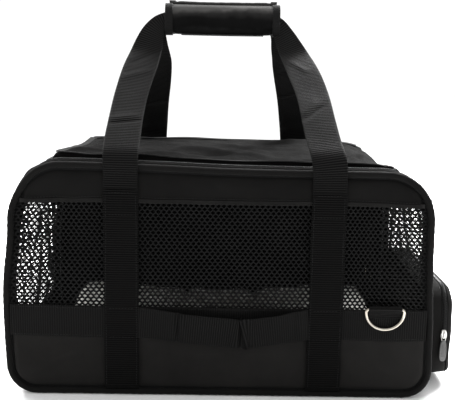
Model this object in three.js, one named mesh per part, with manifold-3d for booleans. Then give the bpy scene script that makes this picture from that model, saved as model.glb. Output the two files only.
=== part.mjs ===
// Soft-sided pet carrier bag, built as separate pieces.
// Frame: millimetres, +Z up, +X to the pocket end, -Y to the mesh front.
// Origin: centre of the flat underside that the bag rests on.
import * as THREE from 'three';
import { mergeVertices } from 'three/addons/utils/BufferGeometryUtils.js';
import Module from 'manifold-3d';

const wasm = await Module();
wasm.setup();

// ---------- driving dimensions (mm) ----------
const BODY_L = 478;          // over the piping, end to end
const BODY_W = 290;          // over the piping, front to rear
const BODY_H = 257;
const R_TOP = 50;            // corner radii of the front and rear panels
const R_BOTTOM = 43;
const WALL = 2.5;            // padded fabric wall
const PIPE_W = 8;            // piped seam
const PIPE_Y = BODY_W / 2 - PIPE_W / 2;
const GUSSET_HALF = BODY_W / 2 - PIPE_W - 0.5;
const GAP = 0.3;             // clearance between touching pieces

const BAND_TOP = 104;        // horizontal webbing band
const BAND_BOTTOM = 68;
const MESH_TOP = 222;        // lower edge of the upper fabric band
const STRAP_W = 38;          // handle webbing
const STRAP_X_FRONT = [-110.5, 114.5];
const STRAP_X_REAR = [-100.5, 100.5];
const STRAP_TOP = 232;       // where the sewn strap ends and the free handle starts
const BASE_TOP = 30;         // edge of the base panel on the ends
const END_TOP = 222;         // edge of the top border on the ends

const FLAP = { x0: -193.5, x1: 202.5, y: 126 };          // opening for the top flap
const DOOR = { y: 116, z0: 36, z1: 216, r: 34 };         // opening for the end door
const POCKET = { y: 108, z0: 13, z1: 117, r: 24, x0: 239.4, split: 256, x1: 274 };
const GRIP = { half: 68.5, cx: -4, z0: 400, z1: 440, y: 14 };
const RING = { x: 184, z: 103, w: 46, h: 27, wire: 4 };

const HL = BODY_L / 2;

// ---------- materials ----------
const mat = (hex, roughness, metalness = 0) => new THREE.MeshStandardMaterial({ color: hex, roughness, metalness });
const M = {
  fabric: mat(0x1b1b1c, 0.85), piping: mat(0x19191a, 0.8), webbing: mat(0x161617, 0.75), net: mat(0x121213, 0.7),
  lining: mat(0x141415, 0.85), fleece: mat(0xb9b7b0, 0.95), board: mat(0x2a2a2b, 0.7), steel: mat(0xc9c9cc, 0.25, 1),
  coil: mat(0x101011, 0.5), pad: mat(0x1d1d1e, 0.6), hook: mat(0x151516, 0.9), wire: mat(0x8a8c8f, 0.4, 1), rubber: mat(0x4a4a4b, 0.6),
};

const group = new THREE.Group();
function put(name, geometry, material) {
  const mesh = new THREE.Mesh(geometry, material);
  mesh.name = name;
  group.add(mesh);
  return mesh;
}

// ---------- solids ----------
function solid(geometry) {
  const g = geometry.clone();
  g.deleteAttribute('normal');
  if (g.attributes.uv) g.deleteAttribute('uv');
  const m = mergeVertices(g, 1e-4);
  return new wasm.Manifold(new wasm.Mesh({
    numProp: 3,
    vertProperties: new Float32Array(m.attributes.position.array),
    triVerts: new Uint32Array(m.index.array),
  }));
}
function geometryOf(manifold) {
  const mesh = manifold.getMesh();
  const g = new THREE.BufferGeometry();
  const p = new Float32Array(mesh.numVert * 3);
  for (let i = 0; i < mesh.numVert; i++) for (let k = 0; k < 3; k++) p[i * 3 + k] = mesh.vertProperties[i * mesh.numProp + k];
  g.setAttribute('position', new THREE.BufferAttribute(p, 3));
  g.setIndex(new THREE.BufferAttribute(new Uint32Array(mesh.triVerts), 1));
  g.computeVertexNormals();
  return g;
}
const box = (x0, x1, y0, y1, z0, z1) => new THREE.BoxGeometry(x1 - x0, y1 - y0, z1 - z0).translate((x0 + x1) / 2, (y0 + y1) / 2, (z0 + z1) / 2);

// Outline of the bag seen from the front, moved inwards by `inset`.
function outline(Kind, inset, steps = 8) {
  const p = new Kind();
  const x = HL - inset, z0 = inset, z1 = BODY_H - inset;
  const rt = Math.max(R_TOP - inset, 4), rb = Math.max(R_BOTTOM - inset, 4);
  const pts = [];
  const arc = (cx, cz, r, a0) => { for (let i = 0; i <= steps; i++) { const a = a0 + (Math.PI / 2) * (i / steps); pts.push([cx + r * Math.cos(a), cz + r * Math.sin(a)]); } };
  arc(x - rt, z1 - rt, rt, 0);
  arc(-x + rt, z1 - rt, rt, Math.PI / 2);
  arc(-x + rb, z0 + rb, rb, Math.PI);
  arc(x - rb, z0 + rb, rb, Math.PI * 1.5);
  p.moveTo(pts[0][0], pts[0][1]);
  for (let i = 1; i < pts.length; i++) p.lineTo(pts[i][0], pts[i][1]);
  p.closePath();
  return p;
}
function rounded(Kind, x0, x1, z0, z1, r, steps = 6, only = [1, 1, 1, 1]) {
  const p = new Kind();
  const pts = [];
  const arc = (cx, cz, a0, on) => {
    if (!on) { pts.push([cx + r * (Math.sign(Math.cos(a0 + 0.7))), cz + r * (Math.sign(Math.sin(a0 + 0.7)))]); return; }
    for (let i = 0; i <= steps; i++) { const a = a0 + (Math.PI / 2) * (i / steps); pts.push([cx + r * Math.cos(a), cz + r * Math.sin(a)]); }
  };
  arc(x1 - r, z1 - r, 0, only[0]);
  arc(x0 + r, z1 - r, Math.PI / 2, only[1]);
  arc(x0 + r, z0 + r, Math.PI, only[2]);
  arc(x1 - r, z0 + r, Math.PI * 1.5, only[3]);
  p.moveTo(pts[0][0], pts[0][1]);
  for (let i = 1; i < pts.length; i++) p.lineTo(pts[i][0], pts[i][1]);
  p.closePath();
  return p;
}
// A shape drawn in X-Z, extruded along Y from y0 to y1.
function alongY(shape, y0, y1, bevel = 0, bevelSegments = 2) {
  const d = y1 - y0;
  const g = bevel
    ? new THREE.ExtrudeGeometry(shape, { depth: d - 2 * bevel, bevelEnabled: true, bevelSize: bevel, bevelThickness: bevel, bevelOffset: -bevel, bevelSegments, curveSegments: 8 }).translate(0, 0, bevel)
    : new THREE.ExtrudeGeometry(shape, { depth: d, bevelEnabled: false, curveSegments: 8 });
  return g.rotateX(Math.PI / 2).translate(0, y1, 0);
}
// A shape drawn in Y-Z, extruded along X from x0 to x1.
function alongX(shape, x0, x1, bevel = 0, bevelSegments = 2) {
  const d = x1 - x0;
  const g = bevel
    ? new THREE.ExtrudeGeometry(shape, { depth: d - 2 * bevel, bevelEnabled: true, bevelSize: bevel, bevelThickness: bevel, bevelOffset: -bevel, bevelSegments, curveSegments: 8 }).translate(0, 0, bevel)
    : new THREE.ExtrudeGeometry(shape, { depth: d, bevelEnabled: false, curveSegments: 8 });
  return g.rotateY(Math.PI / 2).rotateX(Math.PI / 2).translate(x0, 0, 0);
}
// A shape drawn in X-Y, extruded along Z from z0 to z1.
function alongZ(shape, z0, z1, bevel = 0, bevelSegments = 2) {
  const d = z1 - z0;
  const g = bevel
    ? new THREE.ExtrudeGeometry(shape, { depth: d - 2 * bevel, bevelEnabled: true, bevelSize: bevel, bevelThickness: bevel, bevelOffset: -bevel, bevelSegments, curveSegments: 8 }).translate(0, 0, bevel)
    : new THREE.ExtrudeGeometry(shape, { depth: d, bevelEnabled: false, curveSegments: 8 });
  return g.translate(0, 0, z0);
}
const withHole = (shape, hole) => { shape.holes.push(hole); return shape; };
// The wrap-round wall between two insets of the outline.
const wallRing = (a, b, y = GUSSET_HALF) => solid(alongY(withHole(outline(THREE.Shape, a), outline(THREE.Path, b)), -y, y));

// ---------- front and rear panels ----------
const PANEL_INSET = PIPE_W + GAP;
const FY = -BODY_W / 2;                       // outermost front plane
const panelSolid = (y0, y1) => solid(alongY(outline(THREE.Shape, PANEL_INSET), y0, y1));
const slab = (z0, z1) => solid(box(-300, 300, -300, 300, z0, z1));

put('front_lower_panel', geometryOf(panelSolid(FY + 1.5, FY + 4).intersect(slab(0, BAND_TOP - 0.5))), M.fabric);
put('front_mesh', geometryOf(panelSolid(FY + 2.1, FY + 3.1).intersect(slab(BAND_TOP - 0.2, MESH_TOP - 0.2))), M.net);
put('front_upper_band', geometryOf(panelSolid(FY + 1.5, FY + 4).intersect(slab(MESH_TOP + 0.1, 300))), M.fabric);
put('front_mesh_binding', box(-222, 222, FY + 0.3, FY + 1.2, MESH_TOP - 3.5, MESH_TOP + 4.5), M.webbing);
put('front_band', box(-229.5, 229.5, FY - 0.5, FY + 1.2, BAND_BOTTOM, BAND_TOP), M.webbing);
put('rear_panel', geometryOf(panelSolid(-FY - 4, -FY - 1.5)), M.fabric);
put('rear_band', box(-229.5, 229.5, -FY - 1.2, -FY + 0.5, BAND_BOTTOM, BAND_TOP), M.webbing);

for (const [name, s] of [['front', -1], ['rear', 1]]) {
  const y0 = s < 0 ? FY : PIPE_Y - PIPE_W / 2;
  put(`${name}_piping`, alongY(withHole(outline(THREE.Shape, 0.4), outline(THREE.Path, PIPE_W)), y0, y0 + PIPE_W, 2.6, 2), M.piping);
  const yw = s < 0 ? -GUSSET_HALF + 1 : GUSSET_HALF - 3.6;
  put(`${name}_frame_wire`, alongY(withHole(outline(THREE.Shape, WALL + 0.6, 6), outline(THREE.Path, WALL + 3.2, 6)), yw, yw + 2.6), M.wire);
}

// sewn lengths of the handle webbing
STRAP_X_FRONT.forEach((x, i) => put(`front_strap_${i ? 'right' : 'left'}`, box(x - STRAP_W / 2, x + STRAP_W / 2, FY - 2.4, FY - 0.8, 9, STRAP_TOP), M.webbing));
STRAP_X_REAR.forEach((x, i) => put(`rear_strap_${i ? 'right' : 'left'}`, box(x - STRAP_W / 2, x + STRAP_W / 2, -FY + 0.8, -FY + 2.4, 9, STRAP_TOP), M.webbing));

// slack webbing loop between the straps, for a seat belt
{
  const x0 = STRAP_X_FRONT[0] + STRAP_W / 2 + 0.5, x1 = STRAP_X_FRONT[1] - STRAP_W / 2 - 0.5, n = 22;
  const g = new THREE.BoxGeometry(1, 1, 1, n, 1, 1);
  const p = g.attributes.position;
  for (let i = 0; i < p.count; i++) {
    const t = p.getX(i) + 0.5, k = Math.pow(Math.sin(Math.PI * t), 0.8);
    p.setXYZ(i, x0 + t * (x1 - x0), FY - 1.7 - 10 * k + p.getY(i) * 1.5, 86 - 9 * k + p.getZ(i) * 36);
  }
  put('seatbelt_loop', g, M.webbing);
}

// ---------- wrap-round wall ----------
const wall = wallRing(0, WALL);
const doorCut = (grow, y = 400) => solid(alongX(rounded(THREE.Shape, -DOOR.y - grow, DOOR.y + grow, DOOR.z0 - grow, DOOR.z1 + grow, DOOR.r + grow, 6, [1, 1, 0, 0]), -400, -100));
const half = (x0, x1, z0, z1) => solid(box(x0, x1, -300, 300, z0, z1));
const flapCut = (grow) => solid(box(FLAP.x0 - grow, FLAP.x1 + grow, -FLAP.y - grow, FLAP.y + grow, 240, 300));

put('base_panel', geometryOf(wall.intersect(half(-300, 300, -10, BASE_TOP))), M.fabric);
put('left_end_frame', geometryOf(wall.intersect(half(-300, 0, BASE_TOP + GAP, END_TOP)).subtract(doorCut(0.8))), M.fabric);
put('top_frame', geometryOf(wall.intersect(half(-300, 300, END_TOP + GAP, 300)).subtract(flapCut(0))), M.fabric);
put('right_end_lower_panel', geometryOf(wall.intersect(half(0, 300, BASE_TOP + GAP, BAND_TOP))), M.fabric);
put('right_end_mesh', geometryOf(wallRing(0.8, 1.8).intersect(half(0, 300, BAND_TOP + GAP, END_TOP))), M.net);

// stiff board and fleece mat on the floor
put('base_board', alongZ(rounded(THREE.Shape, -199, 199, -128, 128, 14), WALL + 1, WALL + 5), M.board);
put('floor_mat', alongZ(rounded(THREE.Shape, -204, 204, -127, 127, 30), WALL + 5.4, 60, 12, 3), M.fleece);

// ---------- top flap and its zip ----------
put('top_flap_panel', box(FLAP.x0 + 1, FLAP.x1 - 1, -FLAP.y + 1, FLAP.y - 1, BODY_H - 2.6, BODY_H - 0.3), M.fabric);
{
  const u = (x, y, xin, yin) => {   // a U of tape, open at the hinge end
    const s = new THREE.Shape();
    s.moveTo(195, -y); s.lineTo(195, -yin); s.lineTo(xin, -yin); s.lineTo(xin, yin); s.lineTo(195, yin); s.lineTo(195, y); s.lineTo(x, y); s.lineTo(x, -y); s.closePath();
    return s;
  };
  put('top_zip_coil', alongZ(u(FLAP.x0 - 4.6, FLAP.y + 4.6, FLAP.x0 - 0.8, FLAP.y + 0.8), BODY_H + 0.3, BODY_H + 1.8), M.coil);
  put('top_flap_zip_tape', alongZ(u(FLAP.x0 + 1.8, FLAP.y - 1.8, FLAP.x0 + 9, FLAP.y - 9), BODY_H, BODY_H + 1), M.webbing);
}
put('top_zip_slider', alongZ(rounded(THREE.Shape, -199, -194.2, 3, 13, 2, 3), BODY_H + 2.1, BODY_H + 4.6, 0.6, 1), M.steel);
put('top_zip_pull', alongZ(withHole(rounded(THREE.Shape, -199, -194.2, 13.6, 37, 2, 3), rounded(THREE.Path, -197.8, -195.4, 15, 19, 1, 2)), BODY_H + 2.4, BODY_H + 4), M.steel);

// ---------- end door and its zip ----------
const doorRing = wallRing(0, WALL).intersect(half(-300, -150, 0, 300));
const doorAll = doorCut(0);
const doorInner = (grow) => solid(alongX(rounded(THREE.Shape, -DOOR.y + 9 - grow, DOOR.y - 9 + grow, DOOR.z0 + 9 - grow, DOOR.z1 - 9 + grow, DOOR.r - 9 + grow, 6, [1, 1, 0, 0]), -400, -100));
put('end_door_border', geometryOf(doorRing.intersect(doorAll).subtract(doorInner(0))), M.fabric);
put('end_door_mesh', geometryOf(wallRing(0.8, 1.8).intersect(half(-300, -150, 0, 300)).intersect(doorInner(-GAP))), M.net);
{
  const s = withHole(rounded(THREE.Shape, -DOOR.y - 5.2, DOOR.y + 5.2, DOOR.z0 + 4, DOOR.z1 + 5.2, DOOR.r + 5, 6, [1, 1, 0, 0]), rounded(THREE.Path, -DOOR.y - 1.4, DOOR.y + 1.4, DOOR.z0 + 4, DOOR.z1 + 1.4, DOOR.r + 1, 6, [1, 1, 0, 0]));
  const strip = wallRing(-1.9, -0.4).intersect(half(-300, -150, DOOR.z0 + 5, 300));
  const cutter = solid(alongX(rounded(THREE.Shape, -DOOR.y - 5.2, DOOR.y + 5.2, DOOR.z0 - 20, DOOR.z1 + 5.2, DOOR.r + 5, 6, [1, 1, 0, 0]), -400, -100))
    .subtract(solid(alongX(rounded(THREE.Shape, -DOOR.y - 1.4, DOOR.y + 1.4, DOOR.z0 - 20, DOOR.z1 + 1.4, DOOR.r + 1, 6, [1, 1, 0, 0]), -400, -100)));
  put('door_zip_coil', geometryOf(strip.intersect(cutter)), M.coil);
}
put('door_zip_slider', alongX(rounded(THREE.Shape, DOOR.y + 1.6, DOOR.y + 8, 48, 58, 2, 3), -HL - 5, -HL - 2.3, 0.6, 1), M.steel);
put('door_zip_pull', alongX(rounded(THREE.Shape, DOOR.y + 1.6, DOOR.y + 8, 21, 47.4, 2, 3), -HL - 4.6, -HL - 2.8), M.rubber);

// ---------- end pocket ----------
const pocketRing = (g0, g1, x0, x1) => alongX(withHole(
  rounded(THREE.Shape, -POCKET.y + g0, POCKET.y - g0, POCKET.z0 + g0, POCKET.z1 - g0, POCKET.r - g0),
  rounded(THREE.Path, -POCKET.y + g1, POCKET.y - g1, POCKET.z0 + g1, POCKET.z1 - g1, POCKET.r - g1)), x0, x1);
put('pocket_gusset', pocketRing(0, WALL, POCKET.x0, POCKET.split), M.fabric);
{
  const outer = solid(alongX(rounded(THREE.Shape, -POCKET.y, POCKET.y, POCKET.z0, POCKET.z1, POCKET.r), POCKET.split + 1, POCKET.x1, 3, 2));
  const inner = solid(alongX(rounded(THREE.Shape, -POCKET.y + WALL, POCKET.y - WALL, POCKET.z0 + WALL, POCKET.z1 - WALL, POCKET.r - WALL), POCKET.split - 5, POCKET.x1 - WALL));
  put('pocket_lid', geometryOf(outer.subtract(inner).subtract(half(0, POCKET.split + 1.4, -10, 300))), M.fabric);
}
{
  const coil = solid(pocketRing(-2, -0.4, POCKET.split - 4.6, POCKET.split - 0.8)).subtract(half(0, 400, -50, POCKET.z0 + 22));
  put('pocket_zip_coil', geometryOf(coil), M.coil);
}
put('pocket_zip_slider', alongY(rounded(THREE.Shape, POCKET.split - 8, POCKET.split - 1, 57, 67, 2, 3), -POCKET.y - 5.2, -POCKET.y - 2.4, 0.6, 1), M.steel);
put('pocket_zip_pull', alongY(rounded(THREE.Shape, POCKET.split - 9, POCKET.split, 27, 56.4, 3, 3), -POCKET.y - 4.9, -POCKET.y - 2.7), M.rubber);

// ---------- free handles ----------
// Arc length up the handle -> height and lean, for the front handle.
const LEAN = 0.89233;         // radians off vertical, half way up
const leanAt = (s) => {
  const e = (t) => { const u = Math.min(1, Math.max(0, t)); return u * u * (3 - 2 * u); };
  return LEAN * (e((s - 22) / 30) - e((s - 198.9) / 34));
};
const CURVE = [];
{
  let y = FY - 1.6, z = STRAP_TOP + GAP;
  for (let s = 0; s <= 280; s += 1) { CURVE.push([y, z, leanAt(s)]); y += Math.sin(leanAt(s + 0.5)); z += Math.cos(leanAt(s + 0.5)); }
}
const onCurve = (s) => {
  const i = Math.min(CURVE.length - 2, Math.max(0, Math.floor(s))), f = s - i;
  const a = CURVE[i], b = CURVE[i + 1];
  return [a[0] + (b[0] - a[0]) * f, a[1] + (b[1] - a[1]) * f, a[2] + (b[2] - a[2]) * f];
};
// Centre line of each handle as [x, length up from the sewn end, half width].
const FRONT_LINE = [[-110.5, 0, 19], [-110.5, 25, 19], [-110.5, 60, 19.5], [-108.2, 92, 20.2], [-105, 134, 20.8], [-99, 185, 20.6], [-95.5, 208, 19], [-92, 222, 16.5], [-87, 235, 13.2], [-79.5, 245, 10], [-70, 249, 9.4], [-54, 250.2, 11.5], [-35, 251, 13.3], [-4, 251, 13.3],
  [25, 251, 13.3], [44, 250.2, 11.5], [62, 249.2, 9.3], [71.5, 245, 10], [77.5, 235, 13], [81, 221, 16], [83.8, 204, 18.5], [90, 176, 20.2], [98, 136, 19.6], [104.2, 92, 19.3], [108.5, 60, 19], [113.5, 30, 19], [114.5, 12, 19], [114.5, 0, 19]];
const REAR_LINE = [[-100.5, 0, 19], [-100.5, 25, 19], [-98, 60, 19.2], [-94.5, 105, 19.5], [-89, 160, 20], [-86.5, 192, 19.4], [-86.5, 208, 18], [-86.5, 222, 15.5], [-85, 235, 12.5], [-80.5, 245, 10], [-72, 249.5, 9.3], [-52, 250.2, 11.5], [-34, 251, 13.3], [-4, 251, 13.3],
  [20, 251, 13.3], [42, 250.2, 11.5], [63, 249.6, 9.3], [72.5, 245, 10], [77.5, 235, 12.5], [78.5, 221, 15.5], [78.5, 204, 18.4], [79.5, 190, 19.3], [84, 160, 20], [90, 120, 19.5], [96, 70, 19.2], [100.5, 25, 19], [100.5, 0, 19]];
function handle(line, side) {
  const pts = line.map(([a, b, w]) => new THREE.Vector3(a, b, w));
  const curve = new THREE.CatmullRomCurve3(pts, false, 'centripetal');
  const n = 68, g = new THREE.BoxGeometry(1, 1, 1, 1, n, 1), p = g.attributes.position;
  for (let i = 0; i < p.count; i++) {
    const t = p.getY(i) + 0.5;
    const c = curve.getPointAt(t), d = curve.getTangentAt(t);
    const w = c.z * 2 * p.getX(i), l = Math.hypot(d.x, d.y);
    const x = c.x + (d.y / l) * w, s = c.y - (d.x / l) * w;
    const [y, z, a] = onCurve(s);
    const h = p.getZ(i) * 2.4;
    p.setXYZ(i, x, (y - Math.cos(a) * h) * -side, z + Math.sin(a) * h);
  }
  if (side > 0) { const idx = g.index.array; for (let i = 0; i < idx.length; i += 3) { const k = idx[i]; idx[i] = idx[i + 1]; idx[i + 1] = k; } }
  return g;
}
put('front_handle_strap', handle(FRONT_LINE, -1), M.webbing);
put('rear_handle_strap', handle(REAR_LINE, 1), M.webbing);

// padded wrap round both grips: front half on the front handle, rear half folds open
{
  const w = 2.6;
  const halfShell = (side) => {
    const outer = rounded(THREE.Shape, -GRIP.y, GRIP.y, GRIP.z0, GRIP.z1, 12, 6);
    const inner = rounded(THREE.Path, -GRIP.y + w, GRIP.y - w, GRIP.z0 + w, GRIP.z1 - w, 12 - w, 6);
    const all = solid(alongX(withHole(outer, inner), GRIP.cx - GRIP.half, GRIP.cx + GRIP.half));
    const keep = side < 0 ? solid(box(-200, 200, -60, -0.2, 300, 500)) : solid(box(-200, 200, 0.2, 60, 300, 500));
    return geometryOf(all.intersect(keep));
  };
  put('grip_pad', halfShell(-1), M.pad);
  put('grip_wrap_flap', halfShell(1), M.pad);
  put('grip_hook_tape', box(GRIP.cx - 50, GRIP.cx + 50, -10.2, -0.6, GRIP.z0 - 1.6, GRIP.z0 - 0.4), M.hook);
}

// ---------- strap rings ----------
function ring(side) {
  const { x, z, w, h, wire } = RING;
  const cx = side < 0 ? x : -x;
  const d = (Kind, inset) => {
    const p = new Kind(), hw = w / 2 - inset, top = z + wire / 2 - inset, bot = z + wire / 2 - h + inset, n = 14;
    const pts = [];
    const rc = Math.max(4 - inset, 0.8);
    for (let i = 0; i <= 3; i++) { const a = (Math.PI / 2) * (i / 3); pts.push([cx + hw - rc + rc * Math.cos(a), top - rc + rc * Math.sin(a)]); }
    for (let i = 0; i <= 3; i++) { const a = Math.PI / 2 + (Math.PI / 2) * (i / 3); pts.push([cx - hw + rc + rc * Math.cos(a), top - rc + rc * Math.sin(a)]); }
    const zb = top - rc - 2;
    for (let i = 0; i <= n; i++) { const a = Math.PI + Math.PI * (i / n); pts.push([cx + hw * Math.cos(a), zb + (zb - bot) * Math.sin(a)]); }
    p.moveTo(pts[0][0], pts[0][1]);
    for (let i = 1; i < pts.length; i++) p.lineTo(pts[i][0], pts[i][1]);
    p.closePath();
    return p;
  };
  const y0 = side < 0 ? FY - 5.4 : -FY + 1.4;
  return alongY(withHole(d(THREE.Shape, 0), d(THREE.Path, wire)), y0, y0 + wire, 1.2, 2);
}
function ringTab(side) {
  const { x, z } = RING;
  const cx = side < 0 ? x : -x, yc = side < 0 ? FY - 3.4 : -FY + 3.4, n = 10;
  const s = new THREE.Shape();
  const r0 = 2.9, r1 = 4.2, inY = side < 0 ? 1 : -1;
  // Loop of webbing round the straight bar; its two ends come together on the panel above it.
  const P = [];
  for (let i = 0; i <= n; i++) { const a = Math.PI * 0.5 + Math.PI * 1.18 * (i / n); P.push([yc + inY * r1 * Math.cos(a), z + r1 * Math.sin(a)]); }
  const Q = [];
  for (let i = n; i >= 0; i--) { const a = Math.PI * 0.5 + Math.PI * 1.18 * (i / n); Q.push([yc + inY * r0 * Math.cos(a), z + r0 * Math.sin(a)]); }
  const all = [...P, ...Q];
  s.moveTo(all[0][0], all[0][1]);
  for (let i = 1; i < all.length; i++) s.lineTo(all[i][0], all[i][1]);
  s.closePath();
  return alongX(s, cx - 18.5, cx + 18.5);
}
put('d_ring_front', ring(-1), M.steel);
put('d_ring_front_tab', ringTab(-1), M.webbing);
put('d_ring_rear', ring(1), M.steel);
put('d_ring_rear_tab', ringTab(1), M.webbing);

// ---------- safety tether inside, at the rear of the pocket end ----------
put('tether_tab', box(206, 222, 131, 134, 118, 150), M.webbing);
put('tether_strap', box(208, 220, 127.8, 130.6, 84, 147), M.webbing);
{
  const g = alongY(withHole(rounded(THREE.Shape, 207, 221, 62, 83.6, 6.5, 5), rounded(THREE.Path, 210, 218, 65, 80.6, 3.8, 5)), 127.6, 130.8, 0.8, 1);
  put('tether_hook', g, M.steel);
}

export default group;
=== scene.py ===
"""Visual model of the soft-sided pet carrier bag, built round its CAD frame.
All numbers in the shape code are millimetres; meshes are made in metres."""
import math

import bpy
import numpy as np
from mathutils import Matrix, Vector


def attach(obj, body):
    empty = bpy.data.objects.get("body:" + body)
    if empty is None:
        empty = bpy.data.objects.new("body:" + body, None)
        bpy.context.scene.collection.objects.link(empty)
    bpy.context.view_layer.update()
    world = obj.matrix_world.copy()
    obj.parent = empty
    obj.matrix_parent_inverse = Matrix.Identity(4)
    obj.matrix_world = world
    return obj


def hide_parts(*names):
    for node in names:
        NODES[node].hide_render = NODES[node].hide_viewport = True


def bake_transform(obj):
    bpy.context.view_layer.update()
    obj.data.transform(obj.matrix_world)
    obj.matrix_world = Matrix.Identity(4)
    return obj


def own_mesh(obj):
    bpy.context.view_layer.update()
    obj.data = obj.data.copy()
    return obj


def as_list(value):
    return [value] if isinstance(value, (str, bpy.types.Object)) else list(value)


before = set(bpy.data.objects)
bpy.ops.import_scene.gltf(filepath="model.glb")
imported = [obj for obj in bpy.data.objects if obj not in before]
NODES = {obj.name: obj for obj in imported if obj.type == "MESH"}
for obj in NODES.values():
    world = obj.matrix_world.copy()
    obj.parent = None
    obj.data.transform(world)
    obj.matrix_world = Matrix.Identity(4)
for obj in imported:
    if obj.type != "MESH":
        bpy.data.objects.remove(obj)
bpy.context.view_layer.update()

MM = 0.001

# =====================================================================
# driving numbers of the CAD (mm)
# =====================================================================
HL, H = 239.0, 257.0            # half length, height over the piping
RT, RB = 50.0, 43.0             # corner radii
FY = -145.0                     # foremost piping plane
STRAP_XF, STRAP_XR = (-110.5, 114.5), (-100.5, 100.5)
FLAP_X0, FLAP_X1, FLAP_Y = -193.5, 202.5, 126.0
DOOR_Y, DOOR_Z0, DOOR_Z1, DOOR_R = 116.0, 36.0, 216.0, 34.0
POCK_Y, POCK_Z0, POCK_Z1, POCK_R = 108.0, 13.0, 117.0, 24.0
SPLIT = 256.0                   # plane between pocket gusset and lid


# =====================================================================
# small maths
# =====================================================================
def sstep(e0, e1, x):
    t = np.clip((np.asarray(x, float) - e0) / (e1 - e0), 0, 1)
    return t * t * (3 - 2 * t)


def waves(P, scale, seed, n=9, spread=0.45):
    """Smooth noise in about -1..1: a sum of waves in seeded directions, about `scale` mm long."""
    r = np.random.default_rng(seed)
    P = np.asarray(P, float)
    d = r.normal(size=(n, P.shape[-1]))
    d /= np.linalg.norm(d, axis=1)[:, None]
    k = 2 * np.pi / (scale * (1 + spread * (r.random(n) * 2 - 1)))
    ph = r.random(n) * 2 * np.pi
    return np.sin(P @ (d * k[:, None]).T + ph).sum(-1) / math.sqrt(n) * 0.8


def ridged(P, scale, seed, n=5):
    """Narrow soft ridges between flat areas, 0..1."""
    a = waves(P, scale, seed, n)
    return np.exp(-(a / 0.28) ** 2)


def crease(u, v, a, b, width, depth):
    """A fold along the line a-b in the plane (u, v), that fades at both ends."""
    a, b = np.array(a, float), np.array(b, float)
    d = b - a
    L = np.hypot(*d)
    d = d / L
    t = (u - a[0]) * d[0] + (v - a[1]) * d[1]
    o = (u - a[0]) * -d[1] + (v - a[1]) * d[0]
    fade = sstep(-0.15 * L, 0.25 * L, t) * (1 - sstep(0.75 * L, 1.15 * L, t))
    return depth * fade * np.exp(-(o / width) ** 2)


def half_width(z, inset=0.0):
    """Half length of the bag's outline at height z, moved in by inset."""
    z = np.asarray(z, float)
    a = np.full(z.shape, HL - inset)
    r = RB - inset
    a = np.where(z < RB, HL - RB + np.sqrt(np.maximum(r * r - (RB - z) ** 2, 0)), a)
    r = RT - inset
    return np.where(z > H - RT, HL - RT + np.sqrt(np.maximum(r * r - (z - H + RT) ** 2, 0)), a)


def _outline_table():
    pts = []
    def line(x0, z0, x1, z1, nx, nz):
        n = int(math.hypot(x1 - x0, z1 - z0))
        for i in range(n):
            t = i / n
            pts.append((x0 + (x1 - x0) * t, z0 + (z1 - z0) * t, nx, nz))
    def arc(cx, cz, r, a0):
        n = int(r * math.pi / 2)
        for i in range(n):
            a = a0 + math.pi / 2 * i / n
            pts.append((cx + r * math.cos(a), cz + r * math.sin(a), math.cos(a), math.sin(a)))
    line(0, 0, HL - RB, 0, 0, -1); arc(HL - RB, RB, RB, -math.pi / 2); line(HL, RB, HL, H - RT, 1, 0)
    arc(HL - RT, H - RT, RT, 0); line(HL - RT, H, RT - HL, H, 0, 1); arc(RT - HL, H - RT, RT, math.pi / 2)
    line(-HL, H - RT, -HL, RB, -1, 0); arc(RB - HL, RB, RB, math.pi); line(RB - HL, 0, 0, 0, 0, -1)
    p = np.array(pts + [pts[0]])
    s = np.concatenate([[0], np.cumsum(np.hypot(np.diff(p[:, 0]), np.diff(p[:, 1])))])
    return s, p


_OS, _OP = _outline_table()
TOTAL = float(_OS[-1])


def wrap(s, inset=0.0):
    """x, z and outward normal on the bag's outline, s mm round from the middle of the underside, towards +x."""
    s = np.mod(s, TOTAL)
    x, z, nx, nz = (np.interp(s, _OS, _OP[:, k]) for k in range(4))
    l = np.hypot(nx, nz)
    nx, nz = nx / l, nz / l
    return x - nx * inset, z - nz * inset, nx, nz


def s_at(z, side=1):
    """Where the outline passes height z on the right (+1) or left (-1) end."""
    if z < RB:
        s = (HL - RB) + RB * math.acos((RB - z) / RB)
    elif z <= H - RT:
        s = (HL - RB) + RB * math.pi / 2 + z - RB
    else:
        s = (HL - RB) + RB * math.pi / 2 + (H - RT - RB) + RT * math.asin(min(1, (z - H + RT) / RT))
    return s if side > 0 else TOTAL - s


def s_top(x):
    """Where the outline passes x on the top."""
    best = s_at(H - RT) + RT * math.pi / 2
    if abs(x) <= HL - RT:
        return best + (HL - RT - x)
    a = math.acos((abs(x) - (HL - RT)) / RT)
    s = s_at(H - RT) + RT * a
    return s if x > 0 else TOTAL - s


# =====================================================================
# the soft shape of the whole bag: every sewn piece follows this field
# =====================================================================
def corner_r(R, phi, Rm):
    """Distance from the centre of a corner square of side Rm to a rounded corner of radius R, in direction phi."""
    d = Rm - R
    phi = np.clip(phi, 0, np.pi / 2)
    lim = np.arctan2(d, Rm)
    side = Rm / np.maximum(np.cos(np.minimum(phi, np.pi / 2 - phi)), 1e-6)
    arc = d * (np.cos(phi) + np.sin(phi)) + np.sqrt(np.maximum(R * R - d * d * (1 - np.sin(2 * phi)), 0))
    return np.where((phi <= lim) | (phi >= np.pi / 2 - lim), side, arc)


def recorner(a, b, R, Rn):
    """Turns a corner of radius R into one of radius Rn. a, b: distances in from the two sides."""
    Rm = np.maximum(R, Rn)
    u, w = Rm - a, Rm - b
    inside = (u > 0) & (w > 0)
    phi = np.arctan2(np.maximum(w, 1e-9), np.maximum(u, 1e-9))
    k = np.where(inside, corner_r(Rn, phi, Rm) / corner_r(R + 0 * Rn, phi, Rm) - 1, 0)
    return k * u, k * w


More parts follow.
